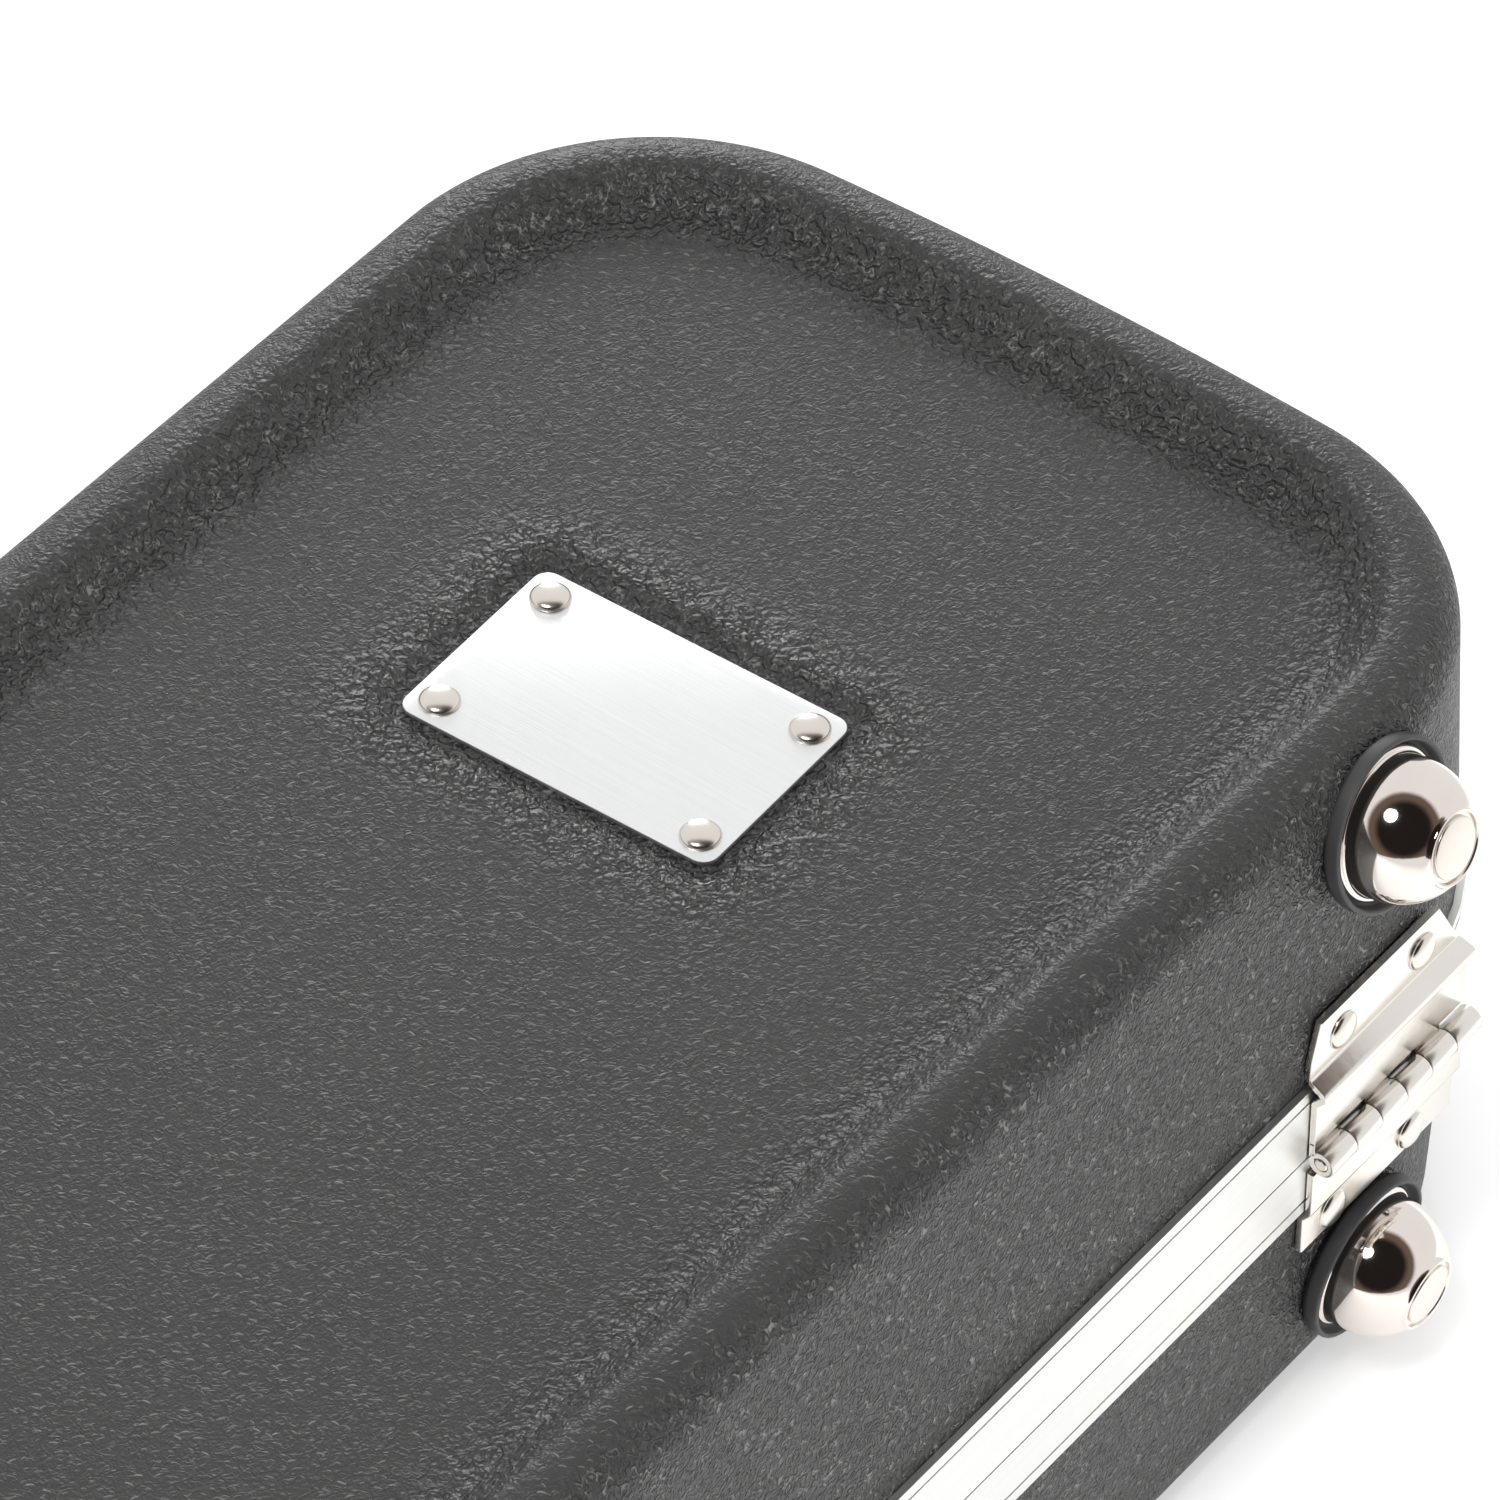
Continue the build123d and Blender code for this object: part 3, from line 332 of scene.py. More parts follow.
def placement(origin, axis, along=(1, 0, 0)):
    """4 x 4 placement whose Z is the given axis and whose X lies near the given direction."""
    z = np.array(axis, float) / np.linalg.norm(axis)
    x = np.array(along, float) - np.dot(along, z) * z
    x /= np.linalg.norm(x)
    place = np.eye(4)
    place[:3, :3] = np.stack([x, np.cross(z, x), z], axis=-1)
    place[:3, 3] = origin
    return place


plate_low, plate_high = box_of("nameplate")
plate_middle = (plate_low + plate_high)[:2] / 2
plate_turn = math.radians(1.7)
plate_half = np.array([36, 56]) / 2 * mm
plate_corner = 2.5 * mm
recess_gap = 1 * mm
recess_depth = 1.5 * mm
recess_slope = 5 * mm
recess_steps = np.array([16, 11, 8, 6, 4.8, 4.0, 3.2, 2.4, 1.6, 0.8, 0.1, -0.4]) * mm


def on_plate(points):
    """Points in the plate's own axes, turned with it and moved to its middle."""
    c, s = math.cos(plate_turn), math.sin(plate_turn)
    return points @ np.array([[c, s], [-s, c]]) + plate_middle


def plate_ring(grow, height):
    """Rounded rectangle round the plate's seat, turned with the plate, at one height."""
    half = plate_half + recess_gap + grow
    return lifted(on_plate(ring_of(*half, plate_corner + max(grow, 0))), height)


def half_skin(depth, frame_height, up):
    """Closed skin of one half: the section's rows carried along the outline, outside and 3 mm inside. Its
    groove mask is exp(-(distance from the rim's foot / spread) squared); the wall mask follows the slope."""
    rows = shell_section(depth, frame_height)
    inside = rows.copy()
    inside[:, :2] -= shell_thickness * inside[:, 2:]
    inside[0, 1] = shell_foot
    both = np.vstack([inside[::-1], rows])
    plan = outline_points[None] + both[:, 0][:, None, None] * outline_inward[None]
    height = np.broadcast_to(parting + up * both[:, 1][:, None], plan.shape[:2])
    step = np.hypot(*np.diff(rows[:, :2], axis=0).T)
    travel = np.concatenate([[0], np.cumsum(step)])
    middle = travel[np.argmax(rows[:, 2])] + rim_slope_width / 2 + groove_shift
    groove = np.exp(-(((travel - middle) / groove_spread) ** 2)) * smooth((travel[-1] - travel) / (4 * mm))
    wall = smooth((-rows[:, 2] - 0.2) / 0.6)
    pulled = calm_side + (1 - calm_side) * smooth((hinge_face - outline_points[:, 1]) / (40 * mm))
    points = np.dstack([plan, height]).reshape(-1, 3)
    shape = points, quads(len(both), len(outline_points), wrap_columns=True)
    groove = np.outer(np.concatenate([groove[::-1], groove]), pulled).ravel()
    return shape, groove, np.repeat(np.concatenate([wall[::-1], wall]), len(outline_points))


def latch_side_face(x):
    """The frames' outer face on the latch side, which steps out past the flare."""
    return neck_face if x < flare_start else latch_face


def seat_block(x, width, low, high, side):
    """Flat moulded seat under a fitting: a thin rounded block flush with the foot of the wall."""
    face = hinge_face if side > 0 else latch_side_face(x)
    half = np.array([width, abs(high - low)]) / 2
    rings = []
    for depth, shrink in np.array([(6, 0), (1.7, 0), (1.3, 0.4)]) * mm:
        ring = ring_of(*(half - shrink), 2 * mm) + np.array([x, parting + (low + high) / 2])
        rings.append(lifted(ring, face - side * depth)[:, [0, 2, 1]])
    return stacked(rings)


cup_reach = 13.7 * mm
feet = {"lid": (55 * mm, math.radians(11)), "base": (36 * mm, math.radians(3))}
foot_rise = 0.3 * mm


def foot_places(half):
    """Seats of the two feet on one half: a little proud of the drafted wall, leaning off the parting line."""
    low, high = box_of(f"{half}_foot_cups")
    height, tilt = feet[half]
    _, frame_height, up = halves[half]
    y = hinge_face - shell_inset - (height - frame_height) * math.tan(draft) + foot_rise
    normal = (0, math.cos(tilt), up * math.sin(tilt))
    xs = (low[0] + cup_reach, high[0] - cup_reach)
    return [placement((x, y, parting + up * height), normal) for x in xs]


class Value:
    """An output of a shader node. Sums, differences and products with numbers or other values, and calls of
    math, make math nodes in its tree."""

    def __init__(self, tree, socket):
        self.tree, self.socket = tree, socket

    def math(self, operation, *terms, clamp=False):
        """One math node over this value and the other terms."""
        return calc(self.tree, operation, self, *terms, clamp=clamp)

    def __add__(self, other):
        return self.math("ADD", other)

    def __sub__(self, other):
        return self.math("SUBTRACT", other)

    def __rsub__(self, other):
        return calc(self.tree, "SUBTRACT", other, self)

    def __mul__(self, other):
        return self.math("MULTIPLY", other)


def join(tree, value, socket):
    """Sets a socket to a number or colour, or links a value to it."""
    if isinstance(value, Value):
        tree.links.new(value.socket, socket)
    else:
        socket.default_value = value


def wire(tree, kind, values=None, **settings):
    """A new shader node: settings first, then its sockets. Returns its outputs by name and by number."""
    node = tree.nodes.new(f"ShaderNode{kind}")
    for key, value in settings.items():
        setattr(node, key, value)
    for socket, value in (values or {}).items():
        join(tree, value, node.inputs[socket])
    outputs = {}
    for index, socket in enumerate(node.outputs):
        outputs[index] = outputs[socket.name] = Value(tree, socket)
    return outputs


def calc(tree, operation, *terms, clamp=False):
    """Output of a math node over numbers or values."""
    return wire(tree, "Math", dict(enumerate(terms)), operation=operation, use_clamp=clamp)[0]


def vectors(operation, values):
    """Output of a vector math node."""
    return wire(values[0].tree, "VectorMath", values, operation=operation)[0]


def ramp(value, low, high):
    """0 below low, 1 above high, smooth between them."""
    return wire(value.tree, "MapRange", {0: value, 1: low, 2: high}, interpolation_type="SMOOTHSTEP")[0]


def noise(place, scale, detail=2.0, rough=0.5, output=0):
    """Soft noise between 0 and 1 at this many features per unit; output 1 is its colour."""
    values = {"Vector": place, "Scale": scale, "Detail": detail, "Roughness": rough}
    return wire(place.tree, "TexNoise", values)[output]


def blended(share, first, second):
    """Colour between two colours by a share from 0 to 1."""
    first, second = (colour if isinstance(colour, Value) else (*colour, 1.0) for colour in (first, second))
    return wire(share.tree, "Mix", {0: share, 6: first, 7: second}, data_type="RGBA")[2]


def worm_lines(place, scale, turns):
    """Curved ridges: the sine of a noise field times many turns, raised to 0..1."""
    return (noise(place, scale, 1.0) * turns).math("SINE") * 0.5 + 0.5


def ticks_on(place, pitch, half_length, half_width):
    """Short curved ticks, one near the middle of each cell of a flat random grid. A tick is 1 where
    (along / half length) squared + (across / half width) squared is small, with the cell's own turn."""
    cells = vectors("SCALE", {0: place, 3: 1 / pitch})
    spots = wire(place.tree, "TexVoronoi", {"Vector": cells, "Scale": 1.0}, voronoi_dimensions="2D")
    chance = wire(place.tree, "SeparateColor", {0: spots["Color"]})
    local = vectors("SUBTRACT", {0: cells, 1: spots["Position"]})
    turn = {"Vector": local, "Angle": chance[0] * 1.5 + 1.45}
    own = wire(place.tree, "VectorRotate", turn, rotation_type="Z_AXIS", invert=True)[0]
    axes = wire(place.tree, "SeparateXYZ", {0: own})
    along = axes[0] * (pitch / half_length)
    curved = along * along * 1.2 + axes[1] * (pitch / half_width)
    reach = along * along + curved * curved
    return (1.0 - ramp(reach, 0.3, 1.0)) * ramp(chance[1], 0.25, 1.0)


def moulded_grain():
    """Leather grain in millimetres: fine worms broken into patches, ticks on the flats, small pits on the
    walls, and swirling wrinkles where the sheet was drawn. Returns height, a mask of ticks and crests for a
    painted highlight, and a mask of pits for painted shade."""
    tree = bpy.data.node_groups.new("moulded_grain", "ShaderNodeTree")
    for name, kind in (("Place", "Vector"), ("Groove", "Float"), ("Wall", "Float")):
        tree.interface.new_socket(name, in_out="INPUT", socket_type=f"NodeSocket{kind}")
    for name in ("Height", "Highlight Ticks", "Shaded Hollows"):
        tree.interface.new_socket(name, in_out="OUTPUT", socket_type="NodeSocketFloat")
    given, made = tree.nodes.new("NodeGroupInput"), tree.nodes.new("NodeGroupOutput")
    place, groove, wall = (Value(tree, given.outputs[index]) for index in range(3))
    drift = vectors("SUBTRACT", {0: noise(place, 0.5, output=1), 1: (0.5, 0.5, 0.5)})
    warped = vectors("MULTIPLY_ADD", {0: drift, 1: (1.6, 1.6, 1.6), 2: place})
    fine = worm_lines(warped, 0.62, 26.0)
    coarse = worm_lines(warped, 0.5, 17.0)
    patch = ramp(noise(place, 0.55, 1.0), 0.44, 0.66)
    wide = ticks_on(place, 2.5, 0.8, 0.17)
    narrow = ticks_on(vectors("ADD", {0: place, 1: (1.7, 1.7, 1.7)}), 1.7, 0.5, 0.13)
    level = 1.0 - wall.math("MAXIMUM", groove * 0.8)
    crests = ramp(fine, 0.8, 0.99) * wall.math("MAXIMUM", groove)
    # Ticks on the flats, and the worms' crests on walls and wrinkles: a little relief, and the mask of a
    # painted highlight.
    ticks = (wide.math("MAXIMUM", narrow * 0.75) * level).math("MAXIMUM", crests * (patch * 0.8))
    edge = wire(tree, "TexVoronoi", {"Vector": warped, "Scale": 0.85}, feature="DISTANCE_TO_EDGE")["Distance"]
    # Pits on the walls: dents in the relief, and the mask of painted shade.
    pits = (1.0 - ramp(fine, 0.0, 0.12)) * ramp(noise(place, 0.9, 0.0), 0.5, 0.62) * wall
    flat = (patch * 0.05 + 0.03) * fine + ticks * 0.05 + ramp(edge, 0.0, 0.16) * 0.02
    flat = flat + noise(place, 2.2) * 0.055
    drawn = fine * wall * 0.25 + flat * (1.0 - groove * 0.6)
    height = drawn - pits * 0.2 + coarse * groove * 0.62
    for index, value in enumerate((height, ticks, pits)):
        join(tree, value, made.inputs[index])
    return tree


class Finish:
    """A material in the making: its node tree, and the place on the piece, in millimetres unless scaled."""

    def __init__(self, name, scale=1000.0):
        self.material = bpy.data.materials.new(name)
        self.material.use_nodes = True
        self.tree = self.material.node_tree
        self.shader = self.tree.nodes["Principled BSDF"]
        self.place = vectors("SCALE", {0: wire(self.tree, "TexCoord")["Object"], 3: scale})

    def done(self, colour, rough, height=None, relief=1.0, **constants):
        """The material with its colour and roughness, a bump whose relief is in millimetres, and constant
        sockets, whose names have _ for a space."""
        for name, value in {"Base Color": colour, "Roughness": rough, **constants}.items():
            join(self.tree, value, self.shader.inputs[name.replace("_", " ")])
        if height:
            bump = wire(self.tree, "Bump", {"Height": height, "Distance": relief * mm})
            join(self.tree, bump[0], self.shader.inputs["Normal"])
        return self.material


def grained_plastic():
    """Black ABS, a warm near-black that varies at random, with painted highlights on the grain's ticks and
    crests and painted shade in its rougher pits.
    """
    made = Finish("grained_plastic")
    groove, wall = (wire(made.tree, "Attribute", attribute_name=mask)["Fac"] for mask in ("groove", "wall"))
    grain = wire(made.tree, "Group", {0: made.place, 1: groove, 2: wall}, node_tree=moulded_grain())
    clouds = noise(made.place, 0.03, 3.0)
    skin = blended(clouds, (0.016, 0.016, 0.016), (0.023, 0.0225, 0.022))
    # Painted highlight: ticks and crests are lightened towards pale grey.
    skin = blended(grain["Highlight Ticks"] * 0.6, skin, (0.17, 0.17, 0.165))
    # Painted shade: the pits are darkened towards near black; they are also made rougher below.
    skin = blended(grain["Shaded Hollows"], skin, (0.012, 0.012, 0.012))
    rough = clouds * 0.08 + 0.40 - groove * 0.12 + grain["Shaded Hollows"] * 0.2
    return made.done(skin, rough, grain["Height"], Specular_IOR_Level=0.42)


grained = grained_plastic()
brackets = ["handle_bracket_1", "handle_bracket_2"]
hinge_middles = [middle_x(f"hinge_lid_leaf_{number}") for number in range(1, 5)]
latch_middles = [middle_x(f"latch_plate_{number}") for number in range(1, 5)]
tab_shift = 2.3 * mm
hinge_seats = {"lid": 25.6 * mm, "base": 19.6 * mm}
latch_seats = {"lid": 30 * mm, "base": 40 * mm}
foot_seat = [(0, -6 * mm), (12.4 * mm, -6 * mm), (12.4 * mm, 0), (0, 0)]
for half, (depth, frame_height, up) in halves.items():
    skin, groove, wall = half_skin(depth, frame_height, up)
    shapes = [skin]
    if half == "lid":
        panel = parting + depth - rim_height
        heights = panel - recess_depth * (1 - smooth((recess_steps - recess_steps[-1]) / recess_slope))
        rings = np.array([plate_ring(grow, height) for grow, height in zip(recess_steps, heights)])
        shapes.append((rings.reshape(-1, 3), quads(*rings.shape[:2], wrap_columns=True)))
        drawn = np.exp(-(((recess_steps - 2.5 * mm) / (6.5 * mm)) ** 2))
        groove = np.concatenate([groove, np.repeat(drawn, rings.shape[1])])
    edge = up * (frame_height + 0.1 * mm)
    shapes += [seat_block(x + tab_shift, 28 * mm, edge, up * hinge_seats[half], 1) for x in hinge_middles]
    shapes += [seat_block(x, 36 * mm, edge, up * latch_seats[half], -1) for x in latch_middles]
    if half == "base":
        for node in brackets:
            low = box_of(node)[0][2] - parting - 1.5 * mm
            shapes.append(seat_block(middle_x(node), 29 * mm, edge, low, -1))
    shapes += [carried(turned(foot_seat, 48), place) for place in foot_places(half)]
    count = sum(len(points) for points, _ in shapes)
    masks = {"groove": groove, "wall": wall}
    masks = {name: np.pad(mask, (0, count - len(mask))) for name, mask in masks.items()}
    node = f"{half}_shell"
    put_piece(f"{half}_moulding", shapes, half, grained, [node], 50, masks, fill=True)

# Frames: anodised aluminium extrusions bent round both halves, drawn to fine lines along their length.
# A groove near the free edge and the dark gap between the halves are their only lines.


def drawn_aluminium():
    """Pale aluminium with die lines: noise stretched along the frame, so that it varies with height only."""
    made = Finish("drawn_aluminium")
    tall = wire(made.tree, "Mapping", {"Vector": made.place, "Scale": (0.004, 0.004, 3.0)})[0]
    lines = noise(tall, 1.0, 4.0, 0.7)
    colour = blended(lines, (0.66, 0.665, 0.645), (0.80, 0.80, 0.78))
    return made.done(colour, noise(made.place, 0.02) * 0.10 + 0.30, lines, 0.04, Metallic=1.0)


frame_finish = drawn_aluminium()
for half in halves:
    frame["nodes"][f"{half}_frame"].material_slots[0].material = frame_finish

# Nameplate: a bare plate cut from brushed aluminium sheet and riveted into its recess a little askew.
# Its face is brushed along the long side and holds no words.


def brushed_plate():
    """Brushed aluminium: fine streaks along the plate's long side, and faint handling marks in the gloss."""
    made = Finish("brushed_plate")
    turn = {"Vector": made.place, "Rotation": (0, 0, -plate_turn), "Scale": (5.0, 0.05, 1.0)}
    streaks = noise(wire(made.tree, "Mapping", turn)[0], 1.0, 5.0, 0.75)
    colour = blended(streaks, (0.72, 0.73, 0.74), (0.90, 0.90, 0.90))
    return made.done(colour, noise(made.place, 0.08, 3.0) * 0.12 + 0.30, streaks, 0.03, Metallic=1.0)


plate_levels = np.array([(0, 0.15), (0.15, 0), (0.6, 0), (0.76, 0.08), (0.8, 0.25)]) * mm
plate = stacked([plate_ring(-recess_gap - shrink, plate_low[2] + level) for level, shrink in plate_levels])
put_piece("bare_nameplate", [plate], "lid", brushed_plate(), ["nameplate"])

# Rivets: plated steel, their low domed heads pressed down tight on the sheet, each with a thin rim where
# the snap met the plate. They hold the nameplate, the hinges, the latches and the handle.
head_radius = 3.15 * mm
head_height = 1.3 * mm
head_rim = 0.25 * mm
rivet_shank = 1.5 * mm
rivet_grip = 5 * mm
plate_grip = 3.5 * mm


def nickel(name, colour, roughness, spread, marks=0.02):
    """Bright plating over pressed steel: slight waves in the surface and smudges in its gloss."""
    made = Finish(name)
    smudge = noise(made.place, 0.12, 4.0, 0.6)
    shade = blended(smudge, [channel * 0.9 for channel in colour], colour)
    return made.done(shade, smudge * spread + roughness, noise(made.place, 0.5, 3.0), marks, Metallic=1.0)


fitting_nickel = nickel("fitting_nickel", (0.80, 0.76, 0.71), 0.16, 0.14)
rivet_nickel = nickel("rivet_nickel", (0.76, 0.71, 0.65), 0.18, 0.12)


def rivet_shape():
    """Lens head over a thin upright rim, with a shank below: one turned profile."""
    dome = np.array([head_radius - 0.1 * mm, head_height - head_rim]) * rays(np.linspace(0, math.pi / 2, 9))
    foot = [(0, -rivet_grip), (rivet_shank, -rivet_grip), (rivet_shank, 0), (head_radius, 0)]
    return turned(np.vstack([foot, [(head_radius, head_rim * 0.8)], dome + np.array([0, head_rim])]), 36)


rivet = rivet_shape()


def wall_rivets(places, face, side):
    """Rivets that point out of a side wall's tabs, at (x, height above the parting line)."""
    y = face - side * 0.1 * mm
    return [carried(rivet, placement((x, y, parting + height), (0, side, 0))) for x, height in places]


plate_rivets = []
for corner in ((-1, -1), (-1, 1), (1, -1), (1, 1)):
    place = placement((*on_plate(np.array(corner) * (plate_half - 4.6 * mm)), plate_high[2]), (0, 0, 1))
    points, faces = carried(rivet, place)
    points[:, 2] = np.maximum(points[:, 2], plate_low[2] - plate_grip)
    plate_rivets.append((points, faces))
put_piece("plate_rivet_heads", plate_rivets, "lid", rivet_nickel, ["nameplate_rivets"])

# Hinges: two leaves of bent nickel-plated steel rolled round one pin. The lid's leaf has a cut-cornered
# tab, a rounded bead where it steps out over the frame, and three knuckles; the base's leaf has the others.
leaf_sheet = 1.2 * mm
leaf_half = 19.3 * mm
leaf_top_half = 15 * mm
knuckle_count = 6
knuckle_gap = 0.22 * mm
knuckle_sheet = 1.05 * mm
knuckle_radius = 2.25 * mm - knuckle_sheet / 2
barrel_centre = (pin_low[1] + pin_high[1]) / 2 - hinge_face
pin_radius = (pin_high[2] - pin_low[2]) / 2
lid_reach = 26.6 * mm
base_reach = 20.6 * mm
tab_place = -shell_inset + leaf_sheet / 2
flat_place = 0.1 * mm + leaf_sheet / 2


def rounded_path(corners, radii, steps=7):
    """Polyline whose inner corners are arcs: each cut starts radius x tan(half the turn) before its corner.
    Returns points and left-hand unit normals."""
    corners = np.array(corners, float)
    points = [corners[0]]
    for before, here, after, radius in zip(corners[:-2], corners[1:-1], corners[2:], radii):
        way_in = (here - before) / np.linalg.norm(here - before)
        way_out = (after - here) / np.linalg.norm(after - here)
        turn = math.atan2(way_in[0] * way_out[1] - way_in[1] * way_out[0], way_in @ way_out)
        left = np.array([-way_in[1], way_in[0]]) * math.copysign(1, turn)
        centre = here - way_in * radius * math.tan(abs(turn) / 2) + left * radius
        c, s = rays(np.linspace(0, turn, steps)).T[:, :, None]
        points.extend(centre + radius * (-left * c + np.array([left[1], -left[0]]) * s))
    points = np.array(points + [corners[-1]])
    run = np.gradient(points, axis=0)
    run /= np.linalg.norm(run, axis=1)[:, None]
    return points, np.stack([-run[:, 1], run[:, 0]], axis=-1)


def bent_sheet(path, normals, thickness, low, high, edge=0.22 * mm):
    """Sheet bent along a path of (outwards, up): at each point a section of the sheet's width and
    thickness with softened corners. Low and high are the ends along the case, one number or one a point."""
    low, high = np.broadcast_to(low, len(path))[:, None], np.broadcast_to(high, len(path))[:, None]
    unit = ring_of(1, 1, 0.5, 3)
    side = np.sign(unit)
    corner = (unit - side) * 2 * edge
    x = (high + low) / 2 + side[:, 0] * (high - low) / 2 + corner[:, 0]
    across = side[:, 1] * thickness / 2 + corner[:, 1]
    return stacked(np.dstack([x, path[:, None] + across[:, None] * normals[:, None]]))


def hinge_shapes(reach, frame_height, knuckles, beaded, up):
    """One leaf in its own place: tab, bead or joggle, the flat over the frame, and its rolled knuckles."""
    seat = barrel_centre - knuckle_radius
    foot = 3.2 * mm
    bead = flat_place + 1.4 * mm
    step = [(tab_place, 1.5), (bead, -0.3), (bead, -1.0), (flat_place, -2.6)]
    radii = [1.3, 0.75, 0.75, 1.2, 1]
    if not beaded:
        step = [(tab_place, 2.0), (flat_place, 0.3)]
        radii = [1.2, 1.2, 1]
    corners = [(tab_place, reach)] + [(u, frame_height + v * mm) for u, v in step]
    corners += [(flat_place, foot + 1.5 * mm), (seat, foot)]
    path, normals = rounded_path(corners, np.array(radii) * mm)
    top_rows = np.linspace(0, 1, 14)[:-1, None]
    path = np.vstack([path[0] + (path[1] - path[0]) * top_rows, path[1:]])
    normals = np.vstack([np.repeat(normals[:1], 13, axis=0), normals[1:]])
    low, high = -leaf_half, leaf_half
    if beaded:
        down = reach - path[:, 1]
        low = low + np.maximum((leaf_half + tab_shift - leaf_top_half) * (1 - down / (12 * mm)), 0)
        high = high - np.maximum((leaf_half - tab_shift - leaf_top_half) * (1 - down / (7 * mm)), 0)
    shapes = [bent_sheet(path, normals, leaf_sheet, low, high)]
    ray = rays(np.linspace(math.pi, math.pi + math.radians(322), 40))
    lead = np.array([[seat, foot + 0.3 * mm], [seat, foot * 0.66], [seat, foot * 0.33]])
    roll = np.vstack([lead, np.array([barrel_centre, 0]) + knuckle_radius * ray])
    roll_normals = np.vstack([np.tile([1.0, 0.0], (3, 1)), -ray])
    for index in knuckles:
        ends = np.array([index, index + 1]) * 2 * leaf_half / knuckle_count - leaf_half
        ends += np.array([index > 0, -(index < knuckle_count - 1)]) * knuckle_gap / 2
        shapes.append(bent_sheet(roll, roll_normals, knuckle_sheet, *ends, 0.16 * mm))
    return [(points * np.array([1, 1, up]), faces) for points, faces in shapes]


leaves = {
    "lid": hinge_shapes(lid_reach, lid_frame_height, [1, 3, 5], True, 1),
    "base": hinge_shapes(base_reach, base_frame_height, [0, 2, 4], False, -1),
}
pin_reach = leaf_half + 0.1 * mm
pin_profile = [(0, -pin_reach), (pin_radius - 0.2 * mm, -pin_reach), (pin_radius, 0.2 * mm - pin_reach)]
pin_profile += [(radius, -height) for radius, height in pin_profile[::-1]]
for number, x in enumerate(hinge_middles, 1):
    for half, leaf in leaves.items():
        moved = [(points + np.array([x, hinge_face, parting]), faces) for points, faces in leaf]
        node = f"hinge_{half}_leaf_{number}"
        put_piece(f"{half}_leaf_{number}", moved, half, fitting_nickel, [node], 34)
    lying = placement((x, hinge_face + barrel_centre, parting), (1, 0, 0), (0, 0, 1))
    pin = carried(turned(pin_profile, 32), lying)
    node = f"hinge_pin_{number}"
    body = body_of(frame["nodes"][node])[0]
    put_piece(f"pin_{number}", [pin], body, rivet_nickel, [node])
rivet_xs = [x + 1.6 * mm + side * 10.1 * mm for x in hinge_middles for side in (-1, 1)]
for half, height in (("lid", lid_reach - 5.5 * mm), ("base", 3.4 * mm - base_reach)):
    heads = wall_rivets([(x, height) for x in rivet_xs], hinge_face, 1)
    node = f"hinge_{half}_rivets"
    put_piece(f"{half}_hinge_rivet_heads", heads, half, rivet_nickel, [node])

# Bumper feet: drawn steel domes, chrome plated, each in a black rubber cup and held by one rivet whose
# flat head lies inside a raised ring at the tip. The case stands on them with its latch side up.
flange_radius = 12 * mm
dome_radius = 11 * mm
dome_fillet = 0.45 * mm
dome_height = 12.5 * mm
tip_radius = 6.1 * mm
tip_head = 4.9 * mm
cup_floor = 1.2 * mm
chrome = nickel("foot_chrome", (0.80, 0.74, 0.69), 0.045, 0.05, 0.01)


def cup_rubber():
    """Black rubber: matt, with a faint bloom and fine moulding texture."""
    made = Finish("cup_rubber")
    bloom = noise(made.place, 0.25, 4.0, 0.6)
    colour = blended(bloom, (0.016, 0.016, 0.017), (0.035, 0.035, 0.036))
    return made.done(colour, bloom * 0.2 + 0.42, noise(made.place, 4.0), 0.02)


def arc_points(centre_r, centre_z, radius, start, end, count):
    """Points of an arc in a turned profile, angles in degrees from the outward direction."""
    ray = rays(np.radians(np.linspace(start, end, count)))
    return (np.array([centre_r, centre_z]) + radius * ray).tolist()


def dome_shape():
    """Flange with a rolled edge, a fillet up to the round body, and a tip with a raised ring."""
    top = cup_floor + dome_height
    centre = top - math.sqrt(dome_radius**2 - tip_radius**2)
    shoulder = math.degrees(math.asin((top - centre) / dome_radius))
    foot = (dome_radius - 1 * mm, cup_floor)
    flange_top = cup_floor + 1 * mm + dome_fillet
    profile = [foot, (flange_radius - 0.4 * mm, cup_floor)]
    profile += arc_points(flange_radius - 0.5 * mm, cup_floor + 0.5 * mm, 0.5 * mm, -80, 90, 7)
    profile += arc_points(dome_radius + dome_fillet, flange_top, dome_fillet, -90, -180, 7)
    profile += [(dome_radius, centre)] + arc_points(0, centre, dome_radius, 0, shoulder - 1, 22)
    profile += arc_points(tip_radius - 0.25 * mm, top + 0.12 * mm, 0.3 * mm, 0, 180, 7)
    profile += [(tip_radius - 0.7 * mm, top - 0.15 * mm), (0, top - 0.15 * mm)]
    return turned(profile + [(0, cup_floor), foot], 96)


def cup_shape():
    """Rubber cup: a disc with a wall that swells outwards and ends in a round lip."""
    profile = [(0, 0), (cup_reach - 1.6 * mm, 0)]
    profile += arc_points(cup_reach - 1.2 * mm, 1.2 * mm, 1.2 * mm, -90, 0, 6)
    profile += arc_points(cup_reach - 0.42 * mm, 2.78 * mm, 0.42 * mm, 0, 180, 8)
    profile += [(cup_reach - 0.95 * mm, 1.7 * mm), (cup_reach - 1.4 * mm, cup_floor), (0, cup_floor)]
    return turned(profile, 96)


def foot_rivet_shape():
    """Flat rivet head with a rounded edge, sunk inside the tip's ring."""
    top = cup_floor + dome_height
    profile = [(0, top - 0.4 * mm), (tip_head, top - 0.4 * mm), (tip_head, top + 0.1 * mm)]
    profile += arc_points(tip_head - 0.3 * mm, top + 0.15 * mm, 0.3 * mm, 0, 90, 5)
    return turned(profile + [(2.0 * mm, top + 0.52 * mm), (0, top + 0.56 * mm)], 72)


